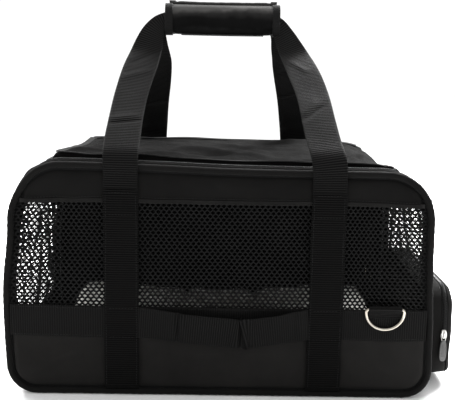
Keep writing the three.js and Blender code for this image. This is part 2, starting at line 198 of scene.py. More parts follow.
# sideways set of the two ends at each height, read off as mm
SET_Z = [0, 30, 51, 88, 106, 124, 143, 161, 179, 197, 215, 235, 260]
SET_L = [0.6, -0.6, -1.6, -3.0, -3.3, -2.8, -0.9, 1.4, 3.4, 4.0, 4.6, 5.0, 5.0]
SET_R = [0.0, -0.6, -1.2, -2.4, -3.6, -4.6, -5.4, -6.2, -6.8, -7.2, -7.2, -6.8, -6.6]


def field(P):
    P = np.asarray(P, float)
    x, y, z = P[..., 0], P[..., 1], P[..., 2]
    out = np.zeros_like(P)
    mid = np.clip(1 - (y / 137.0) ** 2, 0, 1)                 # 1 between the two wire frames, 0 on them
    rear = sstep(-40, 137, y)
    # fabric pulls the corners rounder than the wire at the top, fuller at the foot
    up_r = np.where(x < 0, 60 + 4 * mid + 2 * rear, 56 + 24 * mid + 20 * rear)
    dx, dz = recorner(HL - np.abs(x), H - z, RT, up_r)
    out[..., 0] += np.sign(x) * dx
    out[..., 2] += dz
    dx, dz = recorner(HL - np.abs(x), z, RB, 31.0 + 0 * x)
    out[..., 0] += np.sign(x) * dx
    out[..., 2] -= dz
    # how the two ends stand
    left, right = sstep(-110, -205, x), sstep(120, 190, x) * (1 - sstep(241, 262, x))
    out[..., 0] += left * np.interp(z, SET_Z, SET_L)
    out[..., 0] += right * np.interp(z, SET_Z, SET_R) * (1 - 0.85 * rear)
    # the net of the ends is drawn in a little between the wires
    out[..., 0] += left * mid ** 0.45 * (8.6 * sstep(30, 110, z) * (1 - sstep(205, 250, z)) + 1.2 * rear)
    out[..., 0] -= right * mid * 1.5 * sstep(110, 150, z)
    # the pocket is packed out at its zip line
    out[..., 0] += 5.4 * sstep(240, 254, x) * (1 - sstep(257, 273, x))
    # the right end of the top sinks between the wires
    out[..., 2] -= sstep(120, 215, x) * mid * 3.2 * sstep(215, 250, z)
    # the long sides bulge a little in the middle, and less at the straps
    b = np.cos(np.clip(x / 470, -0.5, 0.5) * np.pi) * np.sin(np.clip((z - 4) / 250, 0, 1) * np.pi)
    out[..., 1] += np.clip(y / 145, -1.1, 1.1) * 1.8 * b
    # it stands a touch taller than drawn, most of all along the front towards the left
    out[..., 2] += 0.0093 * z
    lift = np.interp(x, [-239, -190, -140, -80, 0, 100], [5.0, 5.6, 5.2, 3.8, 1.2, 0.0])
    out[..., 2] += lift * sstep(224, 254, z) * (1 - sstep(-110, 60, y))
    out[..., 2] -= sstep(150, 257, z) * 0.8 * np.cos(np.clip(x / 440, -0.5, 0.5) * np.pi) * np.exp(-(y / 150) ** 2)
    # uneven sewing: slow waves along the whole bag
    k = sstep(6, 40, z)
    out[..., 0] += 0.45 * waves(P, 150, 3) * k
    out[..., 1] += 0.5 * waves(P, 130, 4) * k
    out[..., 2] += 0.35 * waves(P, 140, 5) * sstep(20, 120, z)
    return out


RISE = 2.3                      # what the extra height does to the free handles


def soft(P):
    P = np.asarray(P, float)
    return P + field(P)


def at(p):
    """The displacement of one point, for a small hard part that sits on the fabric."""
    return field(np.array([p], float))[0]


# =====================================================================
# mesh making
# =====================================================================
def mesh_obj(name, V, F, uv=None, mats=(), smooth=True, midx=None):
    me = bpy.data.meshes.new(name)
    V = np.asarray(V, float) * MM
    F = [tuple(int(i) for i in f) for f in F]
    me.from_pydata(V.tolist(), [], F)
    if uv is not None:
        lay = me.uv_layers.new(name="UV")
        idx = np.zeros(len(me.loops), np.int32)
        me.loops.foreach_get("vertex_index", idx)
        lay.data.foreach_set("uv", (np.asarray(uv, float)[idx] * MM).astype(np.float32).ravel())
    for m in mats:
        me.materials.append(m)
    if midx is not None:
        me.polygons.foreach_set("material_index", np.asarray(midx, np.int32))
    me.polygons.foreach_set("use_smooth", np.full(len(me.polygons), bool(smooth)))
    me.update()
    o = bpy.data.objects.new(name, me)
    bpy.context.scene.collection.objects.link(o)
    return o


def place(o, body, slot, *nodes):
    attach(o, body)
    if nodes:
        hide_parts(*nodes)
    return o


def solidify(o, t, offset=-1.0, inner=None, rim=None):
    m = o.modifiers.new("thick", "SOLIDIFY")
    m.thickness = t * MM
    m.offset = offset
    m.use_even_offset = False
    if inner is not None:
        m.material_offset = inner
        m.material_offset_rim = inner if rim is None else rim
    return o


def subsurf(o, n=1):
    m = o.modifiers.new("sub", "SUBSURF")
    m.levels = m.render_levels = n
    return o


def grid_faces(nu, nv, base=0, closed_u=False):
    """Quads of a grid of nu columns by nv rows of points, column index fastest."""
    F = []
    cu = nu if closed_u else nu - 1
    for j in range(nv - 1):
        a = base + j * nu
        for i in range(cu):
            k = (i + 1) % nu
            F.append((a + i, a + k, a + nu + k, a + nu + i))
    return F


def sheet_grid(name, U, Vv, fn, mats, keep=None, flip=False):
    """A sheet over the parameter lines U and Vv; fn(u, v) gives points. keep(u, v) says which faces stay."""
    u, v = np.meshgrid(U, Vv)
    P = fn(u.ravel(), v.ravel())
    F = grid_faces(len(U), len(Vv))
    if keep is not None:
        c = np.array([((U[i] + U[i + 1]) / 2, (Vv[j] + Vv[j + 1]) / 2) for j in range(len(Vv) - 1) for i in range(len(U) - 1)])
        ok = keep(c[:, 0], c[:, 1])
        F = [f for f, k in zip(F, ok) if k]
        used = np.unique(np.array(F).ravel())
        re = np.full(len(P), -1)
        re[used] = np.arange(len(used))
        P, uv = P[used], np.stack([u.ravel(), v.ravel()], 1)[used]
        F = [tuple(re[list(f)]) for f in F]
    else:
        uv = np.stack([u.ravel(), v.ravel()], 1)
    if flip:
        F = [f[::-1] for f in F]
    return mesh_obj(name, P, F, uv=uv, mats=mats)


def lines(a, b, step, *extra):
    """Parameter values from a to b about step apart, with extra values kept exactly."""
    n = max(2, int(round(abs(b - a) / step)) + 1)
    v = set(np.round(np.linspace(a, b, n), 4))
    for e in extra:
        if min(a, b) < e < max(a, b):
            near = [q for q in v if abs(q - e) < step * 0.45 and q not in (round(a, 4), round(b, 4))]
            for q in near:
                v.discard(q)
            v.add(round(e, 4))
    return np.array(sorted(v))


def frames_of(C, up=None):
    """Tangents of a polyline."""
    C = np.asarray(C, float)
    T = np.gradient(C, axis=0)
    T /= np.linalg.norm(T, axis=1)[:, None]
    return T


def resample(C, step, closed=False):
    C = np.asarray(C, float)
    if closed:
        C = np.vstack([C, C[:1]])
    d = np.concatenate([[0], np.cumsum(np.linalg.norm(np.diff(C[:, :3], axis=0), axis=1))])
    n = max(2, int(round(d[-1] / step)) + 1)
    t = np.linspace(0, d[-1], n)
    out = np.stack([np.interp(t, d, C[:, k]) for k in range(C.shape[1])], 1)
    return (out[:-1], t[:-1]) if closed else (out, t)


def ribbon(name, C, A, N, W, mat, T=1.7, rib=2.5, amp=0.22, cols=9, s=None, edge=0.35, warp=None):
    """Woven tape as a closed solid. C centre line, A unit vectors across, N outward normals, W half widths.
    The weft shows as ribs across it, rib mm apart, and both edges are rounded selvedges."""
    C, A, N = (np.asarray(q, float) for q in (C, A, N))
    n = len(C)
    W = np.broadcast_to(np.asarray(W, float), (n,))
    if s is None:
        s = np.concatenate([[0], np.cumsum(np.linalg.norm(np.diff(C, axis=0), axis=1))])
    f = np.concatenate([[-1, -0.975, -0.93], np.linspace(-0.86, 0.86, cols), [0.93, 0.975, 1]])
    th = np.concatenate([[0.18, 0.62, 0.9], np.ones(cols), [0.9, 0.62, 0.18]])
    inner = np.concatenate([[0, 0.5, 0.8], np.ones(cols), [0.8, 0.5, 0]])
    m = len(f)
    ribs = amp * np.cos(2 * np.pi * s / rib)
    V, UV = [], []
    X = C[:, None, :] + A[:, None, :] * (f[None, :] * W[:, None])[:, :, None]
    top = T / 2 * th[None, :] + ribs[:, None] * inner[None, :]
    bot = T / 2 * th[None, :] + ribs[:, None] * inner[None, :]
    wrp = 0 if warp is None else warp(s[:, None], f[None, :])
    Pt = X + N[:, None, :] * (top + wrp)[:, :, None]
    Pb = X - N[:, None, :] * (bot - wrp)[:, :, None]
    P = np.concatenate([Pt, Pb[:, ::-1, :]], axis=1).reshape(-1, 3)
    ff = np.concatenate([f, f[::-1]])
    uv = np.stack([(W[:, None] * ff[None, :]), np.broadcast_to(s[:, None], (n, 2 * m))], -1).reshape(-1, 2)
    k = 2 * m
    F = grid_faces(k, n, closed_u=True)
    F = [q[::-1] for q in F]
    for r, rev in ((0, False), (n - 1, True)):      # the cut ends
        b = r * k
        for i in range(m - 1):
            q = (b + i, b + i + 1, b + k - 2 - i, b + k - 1 - i)
            F.append(q[::-1] if rev else q)
    return mesh_obj(name, P, F, uv=uv, mats=[mat])


def tube(name, C, mat, r, ring=12, closed=False, ref=(0, 1, 0), prof=None, uvs=1.0, caps=True):
    """A round section swept along a line. r is one number or one per point; prof(angle, i) scales it."""
    C = np.asarray(C, float)
    n = len(C)
    if closed:
        T = (np.roll(C, -1, 0) - np.roll(C, 1, 0))
    else:
        T = np.gradient(C, axis=0)
    T /= np.linalg.norm(T, axis=1)[:, None]
    a = np.asarray(ref, float)
    B = np.cross(T, a)
    B /= np.maximum(np.linalg.norm(B, axis=1), 1e-9)[:, None]
    D = np.cross(B, T)
    ang = np.linspace(0, 2 * np.pi, ring, endpoint=False)
    R = np.broadcast_to(np.asarray(r, float), (n,))[:, None] * np.ones(ring)[None, :]
    if prof is not None:
        R = R * prof(ang[None, :], np.arange(n)[:, None])
    P = C[:, None, :] + B[:, None, :] * (R * np.cos(ang))[:, :, None] + D[:, None, :] * (R * np.sin(ang))[:, :, None]
    s = np.concatenate([[0], np.cumsum(np.linalg.norm(np.diff(C, axis=0), axis=1))])
    uv = np.stack([np.broadcast_to((ang * np.mean(R))[None, :], (n, ring)), np.broadcast_to(s[:, None], (n, ring))], -1)
    F = grid_faces(ring, n, closed_u=True)
    if closed:
        b = (n - 1) * ring
        for i in range(ring):
            k = (i + 1) % ring
            F.append((b + i, b + k, k, i))
    elif caps:
        F.append(tuple(range(ring))[::-1])
        F.append(tuple(range((n - 1) * ring, n * ring)))
    return mesh_obj(name, P.reshape(-1, 3), F, uv=uv.reshape(-1, 2), mats=[mat])


def joined(name, parts, mats, smooth=True):
    """One mesh from several (V, F[, material index]) lists."""
    V, F, M, b = [], [], [], 0
    for p in parts:
        v, f = np.asarray(p[0], float), p[1]
        V.append(v)
        F += [tuple(i + b for i in q) for q in f]
        M += [p[2] if len(p) > 2 else 0] * len(f)
        b += len(v)
    V = np.vstack(V)
    return mesh_obj(name, V, F, uv=V[:, :2], mats=mats, smooth=smooth, midx=M)


def lozenges(C, D, U, length, width, height):
    """Small rounded bars centred on C, long along D, lifted along U: thread stitches or zip teeth."""
    C, D, U = (np.asarray(q, float) for q in (C, D, U))
    S = np.cross(D, U)
    S /= np.maximum(np.linalg.norm(S, axis=1), 1e-9)[:, None]
    U = np.cross(S, D)
    n = len(C)
    out = np.zeros((n, 14, 3))
    k = 0
    out[:, 0] = C - D * length / 2 - U * height * 0.15
    for a, w in ((-0.36, 0.86), (0.0, 1.0), (0.36, 0.86)):
        for dx, dz in ((-1, 0), (0, 1), (1, 0), (0, -1)):
            k += 1
            out[:, k] = C + D * a * length + S * (dx * width / 2 * w) + U * (dz * height / 2 * w)
    out[:, 13] = C + D * length / 2 - U * height * 0.15
    F1 = []
    for j in range(4):
        q = (j + 1) % 4
        F1.append((0, 1 + q, 1 + j))
        F1.append((1 + j, 1 + q, 5 + q, 5 + j))
        F1.append((5 + j, 5 + q, 9 + q, 9 + j))
        F1.append((9 + j, 9 + q, 13))
    F = [tuple(i + b * 14 for i in f) for b in range(n) for f in F1]
    return out.reshape(-1, 3), F


def stitches(path, normals, pitch=3.4, length=2.6, width=0.62, height=0.5, lift=0.1):
    """A row of stitches along a line that lies on fabric."""
    P, t = resample(np.hstack([np.asarray(path, float), np.asarray(normals, float)]), pitch)
    C, N = P[:, :3], P[:, 3:]
    N = N / np.linalg.norm(N, axis=1)[:, None]
    if len(C) < 3:
        return np.zeros((0, 3)), []
    D = np.gradient(C, axis=0)
    D /= np.linalg.norm(D, axis=1)[:, None]
    return lozenges(C[1:-1] + N[1:-1] * lift, D[1:-1], N[1:-1], length, width, height)


def net(name, fn, inside, u0, u1, v0, v1, mat, px=5.9, pz=3.8, hx=0.585, hz=0.50, h=0.42):
    """Knitted hexagonal net as real strands round real holes. fn(u, v, w) gives points, w mm out of the cloth."""
    k = (pz * pz - px * px / 4) / (2 * pz)
    c = (px * px / 4 + pz * pz) / (2 * pz)
    cell = np.array([(px / 2, -k), (px / 2, k), (0, c), (-px / 2, k), (-px / 2, -k), (0, -c)])
    hole = cell * np.array([hx * 1.02, hz])
    J = np.arange(int((v1 - v0) / pz) + 2)
    cu, cv = [], []
    for j in J:
        o = (j % 2) * px / 2
        i = np.arange(int((u1 - u0) / px) + 2)
        cu.append(u0 + i * px + o)
        cv.append(np.full(len(i), v0 + j * pz))
    cu, cv = np.concatenate(cu), np.concatenate(cv)
    ok = inside(cu, cv)
    cu, cv = cu[ok], cv[ok]
    n = len(cu)
    outer = np.stack([cu[:, None] + cell[None, :, 0], cv[:, None] + cell[None, :, 1]], -1).reshape(-1, 2)
    key, inv = np.unique(np.round(outer * 20).astype(np.int64), axis=0, return_inverse=True)
    inv = np.asarray(inv).ravel()
    uniq = np.zeros((len(key), 2))
    uniq[inv] = outer
    m = len(uniq)
    inner = np.stack([cu[:, None] + hole[None, :, 0], cv[:, None] + hole[None, :, 1]], -1).reshape(-1, 2)
    P = np.vstack([fn(uniq[:, 0], uniq[:, 1], np.full(m, h)), fn(uniq[:, 0], uniq[:, 1], np.full(m, -h)), fn(inner[:, 0], inner[:, 1], np.zeros(len(inner)))])
    UV = np.vstack([uniq, uniq, inner])
    ring = inv.reshape(n, 6)
    F = []
    edges = {}
    for q in range(n):
        r = ring[q]
        hb = 2 * m + q * 6
        for a in range(6):
            b = (a + 1) % 6
            F.append((r[a], r[b], hb + b, hb + a))
            F.append((m + r[b], m + r[a], hb + a, hb + b))
            e = (min(r[a], r[b]), max(r[a], r[b]))
            edges[e] = None if e in edges else (r[a], r[b])
    for e in edges.values():
        if e is not None:
            F.append((e[1], e[0], m + e[0], m + e[1]))
    return mesh_obj(name, P, F, uv=UV, mats=[mat])


def puffed(o, voxel, pressure, cap, frames=20, stiff=15.0):
    """The cloth step for a padded piece: even remesh, cloth with inner pressure, capped, applied."""
    sc = bpy.context.scene
    m = o.modifiers.new("r", "REMESH")
    m.mode = "VOXEL"
    m.voxel_size = voxel * MM
    m.use_smooth_shade = True
    dg = bpy.context.evaluated_depsgraph_get()
    me = bpy.data.meshes.new_from_object(o.evaluated_get(dg))
    o.modifiers.clear()
    mats = list(o.data.materials)
    old = o.data
    o.data = me
    if not len(me.materials):
        for q in mats:
            me.materials.append(q)
    bpy.data.meshes.remove(old)
    n = len(me.vertices)
    rest = np.zeros(n * 3, np.float32)
    me.vertices.foreach_get("co", rest)
    rest = rest.reshape(-1, 3)
    cl = o.modifiers.new("c", "CLOTH")
    st = cl.settings
    st.quality = 4
    st.mass = 0.25
    st.tension_stiffness = st.compression_stiffness = stiff
    st.shear_stiffness = 5
    st.bending_stiffness = 0.6
    st.use_pressure = True
    st.uniform_pressure_force = pressure
    st.effector_weights.gravity = 0
    cl.collision_settings.use_collision = False
    cl.collision_settings.use_self_collision = False
    cl.point_cache.frame_start, cl.point_cache.frame_end = 1, frames + 2
    for f in range(1, frames + 1):
        sc.frame_set(f)
    dg = bpy.context.evaluated_depsgraph_get()
    ev = o.evaluated_get(dg).to_mesh()
    co = np.zeros(n * 3, np.float32)
    ev.vertices.foreach_get("co", co)
    o.evaluated_get(dg).to_mesh_clear()
    o.modifiers.clear()
    sc.frame_set(1)
    d = co.reshape(-1, 3) - rest
    l = np.linalg.norm(d, axis=1)[:, None]
    lim = cap * MM
    d = d * np.minimum(1, lim * np.tanh(l / lim) / np.maximum(l, 1e-9))
    rest = rest + d
    me.vertices.foreach_set("co", rest.astype(np.float32).ravel())
    me.polygons.foreach_set("use_smooth", np.ones(len(me.polygons), bool))
    me.update()
    return o


def edit(o, fn):
    """Moves the points of a finished mesh: fn takes and returns mm."""
    n = len(o.data.vertices)
    co = np.zeros(n * 3, np.float32)
    o.data.vertices.foreach_get("co", co)
    P = fn(co.reshape(-1, 3).astype(float) / MM)
    o.data.vertices.foreach_set("co", (P * MM).astype(np.float32).ravel())
    o.data.update()
    return o


def normals_of(o):
    n = len(o.data.vertices)
    a = np.zeros(n * 3, np.float32)
    o.data.vertex_normals.foreach_get("vector", a)
    return a.reshape(-1, 3).astype(float)


# =====================================================================
# materials (all procedural)
# =====================================================================
class Nodes:
    def __init__(self, name):
        self.mat = bpy.data.materials.new(name)
        self.mat.use_nodes = True
        self.nt = self.mat.node_tree
        self.nt.nodes.clear()
        self.out = self.nt.nodes.new("ShaderNodeOutputMaterial")
        self.b = self.nt.nodes.new("ShaderNodeBsdfPrincipled")
        self.link(self.b.outputs[0], self.out.inputs[0])
        self.tc = self.nt.nodes.new("ShaderNodeTexCoord")

    def link(self, a, b):
        self.nt.links.new(a, b)

    def new(self, kind, **props):
        n = self.nt.nodes.new(kind)
        for k, v in props.items():
            setattr(n, k, v)
        return n

    def noise(self, scale, detail=3.0, rough=0.55, co="Object", vec=None):
        n = self.new("ShaderNodeTexNoise")
        n.inputs["Scale"].default_value = scale
        n.inputs["Detail"].default_value = detail
        n.inputs["Roughness"].default_value = rough
        self.link(vec if vec is not None else self.tc.outputs[co], n.inputs["Vector"])
        return n.outputs["Fac"]

    def maths(self, op, a, b=None, clamp=False):
        n = self.new("ShaderNodeMath", operation=op, use_clamp=clamp)
        for i, q in enumerate((a, b)):
            if q is None:
                continue
            if isinstance(q, (int, float)):
                n.inputs[i].default_value = q
            else:
                self.link(q, n.inputs[i])
        return n.outputs[0]

    def uv(self):
        s = self.new("ShaderNodeSeparateXYZ")
        self.link(self.tc.outputs["UV"], s.inputs[0])
        return s.outputs[0], s.outputs[1]

    def ramp(self, fac, stops):
        n = self.new("ShaderNodeValToRGB")
        e = n.color_ramp.elements
        while len(e) < len(stops):
            e.new(0.5)
        for i, (p, c) in enumerate(stops):
            e[i].position = p
            e[i].color = (c[0], c[1], c[2], 1) if hasattr(c, "__len__") else (c, c, c, 1)
        self.link(fac, n.inputs[0])
        return n.outputs[0]

    def span(self, fac, a, b, lo=0.0, hi=1.0):
        n = self.new("ShaderNodeMapRange")
        n.inputs["From Min"].default_value, n.inputs["From Max"].default_value = lo, hi
        n.inputs["To Min"].default_value, n.inputs["To Max"].default_value = a, b
        self.link(fac, n.inputs["Value"])
        return n.outputs["Result"]

    def bump(self, height, distance, strength=1.0, chain=None):
        n = self.new("ShaderNodeBump")
        n.inputs["Strength"].default_value = strength
        n.inputs["Distance"].default_value = distance
        self.link(height, n.inputs["Height"])
        if chain is not None:
            self.link(chain, n.inputs["Normal"])
        return n.outputs[0]

    def set(self, **kw):
        names = {"rough": "Roughness", "metal": "Metallic", "spec": "Specular IOR Level", "sheen": "Sheen Weight",
                 "sheen_rough": "Sheen Roughness", "sheen_tint": "Sheen Tint", "coat": "Coat Weight", "coat_rough": "Coat Roughness", "ior": "IOR"}
        for k, v in kw.items():
            self.b.inputs[names[k]].default_value = v
        return self


def fabric(name, dark, light, pitch=1.15, rough=(0.62, 0.8), spec=0.22, sheen=0.12, weave=0.00009, mottled=14.0, dust=0.35):
    """Plain-woven synthetic fabric; the weave is read off UVs in metres, the tone drifts slowly, raised folds are a little worn."""
    n = Nodes(name)
    u, v = n.uv()
    a = n.maths("SINE", n.maths("MULTIPLY", u, 2 * math.pi / (pitch * MM)))
    b = n.maths("SINE", n.maths("MULTIPLY", v, 2 * math.pi / (pitch * MM)))
    lattice = n.maths("MULTIPLY", a, b)
    fibre = n.noise(2600, 2.0, 0.6)
    slow = n.noise(mottled, 4.0, 0.6)
    mid = n.noise(mottled * 9, 3.0, 0.6)
    tone = n.maths("ADD", n.maths("MULTIPLY", slow, 0.55), n.maths("MULTIPLY", mid, 0.45))
    tone = n.maths("ADD", tone, n.maths("MULTIPLY", lattice, 0.06))
    col = n.ramp(tone, [(0.34, dark), (0.66, light)])
    if dust:
        g = n.new("ShaderNodeNewGeometry")
        worn = n.span(g.outputs["Pointiness"], 0.0, dust, 0.505, 0.56)
        mx = n.new("ShaderNodeMix", data_type="RGBA")
        n.link(worn, mx.inputs[0])
        n.link(col, mx.inputs[6])
        mx.inputs[7].default_value = (light[0] * 2.6, light[1] * 2.6, light[2] * 2.6, 1)
        col = mx.outputs[2]
    n.link(col, n.b.inputs["Base Color"])
    n.link(n.span(mid, rough[0], rough[1], 0.3, 0.7), n.b.inputs["Roughness"])
    nb = n.bump(lattice, weave)
    nb = n.bump(fibre, weave * 0.7, 0.6, nb)
    nb = n.bump(mid, 0.0006, 0.35, nb)
    n.link(nb, n.b.inputs["Normal"])
    n.set(spec=spec, sheen=sheen, sheen_rough=0.45)
    return n.mat


def webbing_mat(name, dark, light, rib=2.5, spec=0.25, fade=None):
    """Polypropylene tape: the ribs are real; the material adds the slanting yarns on them and paints shade into the
    grooves between them.
    """
    n = Nodes(name)
    u, v = n.uv()
    w = 2 * math.pi / (rib * MM)
    # painted shade: the colour is darkest in the grooves between the ribs
    painted_groove_shade = n.maths("MULTIPLY", n.maths("ADD", n.maths("SINE", n.maths("ADD", n.maths("MULTIPLY", v, w), math.pi / 2)), 1.0), 0.5)
    slant = n.maths("SINE", n.maths("ADD", n.maths("MULTIPLY", u, 2 * math.pi / (1.05 * MM)), n.maths("MULTIPLY", v, w)))
    slow = n.noise(22, 4.0, 0.6)
    fine = n.noise(1500, 2.0, 0.6)
    t = n.maths("ADD", n.maths("MULTIPLY", painted_groove_shade, 0.7), n.maths("MULTIPLY", slow, 0.3))
    t = n.maths("ADD", t, n.maths("MULTIPLY", slant, 0.05))
    col = n.ramp(t, [(0.26, dark), (0.46, tuple(0.35 * a + 0.65 * b for a, b in zip(light, dark))), (0.74, light)])
    if fade:                                      # painted light and shade: the free part is multiplied darker towards the seam lower down
        sep = n.new("ShaderNodeSeparateXYZ")
        n.link(n.tc.outputs["Object"], sep.inputs[0])
        k = n.span(sep.outputs[2], fade[2], 1.0, fade[0], fade[1])
        mx = n.new("ShaderNodeMix", data_type="RGBA", blend_type="MULTIPLY")
        mx.inputs[0].default_value = 1.0
        n.link(col, mx.inputs[6])
        n.link(k, mx.inputs[7])
        col = mx.outputs[2]
    n.link(col, n.b.inputs["Base Color"])
    n.link(n.span(slow, 0.5, 0.72, 0.3, 0.7), n.b.inputs["Roughness"])
    nb = n.bump(slant, 0.00008)
    nb = n.bump(fine, 0.00006, 0.6, nb)
    n.link(nb, n.b.inputs["Normal"])
    n.set(spec=spec, sheen=0.01, sheen_rough=0.4)
    return n.mat


def net_mat():
    n = Nodes("net_knit")
    fine = n.noise(1400, 3.0, 0.6)
    slow = n.noise(30, 3.0, 0.6)
    n.link(n.ramp(n.maths("ADD", n.maths("MULTIPLY", fine, 0.5), n.maths("MULTIPLY", slow, 0.5)), [(0.35, (0.0020, 0.0020, 0.0020)), (0.65, (0.0046, 0.0046, 0.0046))]), n.b.inputs["Base Color"])
    n.link(n.span(slow, 0.42, 0.6, 0.3, 0.7), n.b.inputs["Roughness"])
    n.link(n.bump(fine, 0.00012, 0.8), n.b.inputs["Normal"])
    n.set(spec=0.06, sheen=0.0)
    return n.mat


def fleece_mat():
    n = Nodes("fleece_pile")
    slow = n.noise(9, 4.0, 0.6)
    mid = n.noise(160, 4.0, 0.65)
    fine = n.noise(1100, 3.0, 0.7)
    vo = n.new("ShaderNodeTexVoronoi")
    vo.inputs["Scale"].default_value = 420
    n.link(n.tc.outputs["Object"], vo.inputs["Vector"])
    t = n.maths("ADD", n.maths("MULTIPLY", slow, 0.4), n.maths("ADD", n.maths("MULTIPLY", mid, 0.35), n.maths("MULTIPLY", fine, 0.25)))
    pile = n.ramp(t, [(0.3, (0.66, 0.645, 0.60)), (0.55, (0.80, 0.785, 0.74)), (0.75, (0.90, 0.885, 0.85))])
    sep = n.new("ShaderNodeSeparateXYZ")
    n.link(n.tc.outputs["Object"], sep.inputs[0])
    painted_shade_dist = n.maths("ADD", n.maths("ABSOLUTE", sep.outputs[0]), n.maths("MULTIPLY", n.maths("SUBTRACT", slow, 0.5), 0.06))
    mx = n.new("ShaderNodeMix", data_type="RGBA", blend_type="MULTIPLY")      # painted shade: the middle of the mat is multiplied greyer, where less light reaches it
    mx.inputs[0].default_value = 1.0
    n.link(pile, mx.inputs[6])
    n.link(n.span(painted_shade_dist, 0.50, 1.0, 0.06, 0.115), mx.inputs[7])
    n.link(mx.outputs[2], n.b.inputs["Base Color"])
    n.link(n.span(mid, 0.85, 1.0, 0.3, 0.7), n.b.inputs["Roughness"])
    nb = n.bump(mid, 0.0022, 0.7)
    nb = n.bump(vo.outputs["Distance"], 0.0009, 0.7, nb)
    nb = n.bump(fine, 0.0005, 0.8, nb)
    n.link(nb, n.b.inputs["Normal"])
    n.set(spec=0.12, sheen=0.5, sheen_rough=0.6)
    return n.mat


def metal_mat(name, dark, light, rough=(0.16, 0.34), scratch=0.00003):
    n = Nodes(name)
    slow = n.noise(60, 3.0, 0.6)
    mp = n.new("ShaderNodeMapping")
    mp.inputs["Scale"].default_value = (1.0, 1.0, 7.0)
    n.link(n.tc.outputs["Object"], mp.inputs["Vector"])
    sc = n.noise(700, 3.0, 0.7, vec=mp.outputs[0])
    n.link(n.ramp(slow, [(0.35, dark), (0.65, light)]), n.b.inputs["Base Color"])
    n.link(n.span(n.maths("ADD", n.maths("MULTIPLY", slow, 0.6), n.maths("MULTIPLY", sc, 0.4)), rough[0], rough[1], 0.35, 0.65), n.b.inputs["Roughness"])
    n.link(n.bump(sc, scratch, 0.5), n.b.inputs["Normal"])
    n.set(metal=1.0)
    return n.mat


def moulded_mat(name, dark, light, rough=(0.5, 0.65), spec=0.4, grain=900, depth=0.00006):
    n = Nodes(name)
    slow = n.noise(45, 3.0, 0.6)
    fine = n.noise(grain, 3.0, 0.6)
    t = n.maths("ADD", n.maths("MULTIPLY", slow, 0.7), n.maths("MULTIPLY", fine, 0.3))
    n.link(n.ramp(t, [(0.35, dark), (0.65, light)]), n.b.inputs["Base Color"])
    n.link(n.span(fine, rough[0], rough[1], 0.3, 0.7), n.b.inputs["Roughness"])
    n.link(n.bump(fine, depth, 0.7), n.b.inputs["Normal"])
    n.set(spec=spec)
    return n.mat


def c(v, warm=0.0):
    return (v * (1 + warm), v, v * (1 - warm))


FAB = fabric("fabric_black", c(0.0046, 0.03), c(0.0082, 0.03), rough=(0.72, 0.86), spec=0.045, sheen=0.01)
# painted shade: a darker copy of the black fabric, for the upper front band and the rear panel
FAB_PAINTED_SHADE = fabric("fabric_black_band_painted_shade", c(0.0034, 0.03), c(0.0060, 0.03), rough=(0.72, 0.86), spec=0.035, sheen=0.008)
# painted light: a lighter copy of the black fabric for the lower front panel, standing in for light from below
FAB_PAINTED_LIGHT = fabric("fabric_black_low_painted_light", c(0.0062, 0.045), c(0.0108, 0.045), rough=(0.72, 0.86), spec=0.045, sheen=0.01)
# painted shade: a darker copy of the black fabric for the top, set against the overhead light
FAB_TOP_PAINTED_SHADE = fabric("fabric_black_top_painted_shade", c(0.0010, 0.03), c(0.0030, 0.03), rough=(0.62, 0.78), spec=0.016, sheen=0.004)
PIPE = fabric("piping_cloth", c(0.0024, 0.03), c(0.0046, 0.03), pitch=0.9, rough=(0.62, 0.78), spec=0.035, sheen=0.02)
LINING = fabric("lining_black", c(0.0030), c(0.0052), pitch=0.8, rough=(0.6, 0.75), spec=0.06, sheen=0.0, dust=0.0)
WEB = webbing_mat("webbing_black", c(0.0001, 0.02), c(0.0060, 0.02), spec=0.020)
# painted light: a lighter copy of the strap webbing for the free handle legs, darker towards the seam
WEB_FREE_PAINTED_LIGHT = webbing_mat("webbing_free_painted_light", c(0.0004, 0.02), c(0.0140, 0.02), spec=0.035, fade=(0.236, 0.31, 0.42))
WEBB = webbing_mat("webbing_band", c(0.0018, 0.02), c(0.0082, 0.02), spec=0.032)
TAPE = webbing_mat("binding_tape", c(0.0036, 0.02), c(0.0070, 0.02), rib=1.1, spec=0.07)
NETM = net_mat()
FLEECE = fleece_mat()
def painted_sheen_grip_mat():
    """Smooth satin cloth with painted light and shade: dark under the barrel and painted light along its upper side,
    for its sheen.
    """
    n = Nodes("grip_cloth_painted_sheen")
    sep = n.new("ShaderNodeSeparateXYZ")
    n.link(n.tc.outputs["Object"], sep.inputs[0])
    slow = n.noise(34, 4.0, 0.6)
    fine = n.noise(2200, 2.0, 0.6)
    # painted highlight and shade: the colour ramps with height, dark under the barrel and light along the top
    h = n.span(sep.outputs[2], 0.0, 1.0, 0.408, 0.4385)
    h = n.maths("ADD", h, n.maths("MULTIPLY", n.maths("SUBTRACT", slow, 0.5), 0.55))
    n.link(n.ramp(h, [(0.0, c(0.0040)), (0.12, c(0.0007)), (0.45, c(0.0030)), (0.66, c(0.013, 0.02)), (0.84, c(0.046, 0.03)), (1.0, c(0.034, 0.02))]), n.b.inputs["Base Color"])
    n.link(n.span(slow, 0.36, 0.5, 0.3, 0.7), n.b.inputs["Roughness"])
    nb = n.bump(fine, 0.00004, 0.6)
    nb = n.bump(slow, 0.0009, 0.4, nb)
    n.link(nb, n.b.inputs["Normal"])
    n.set(spec=0.03)
    return n.mat


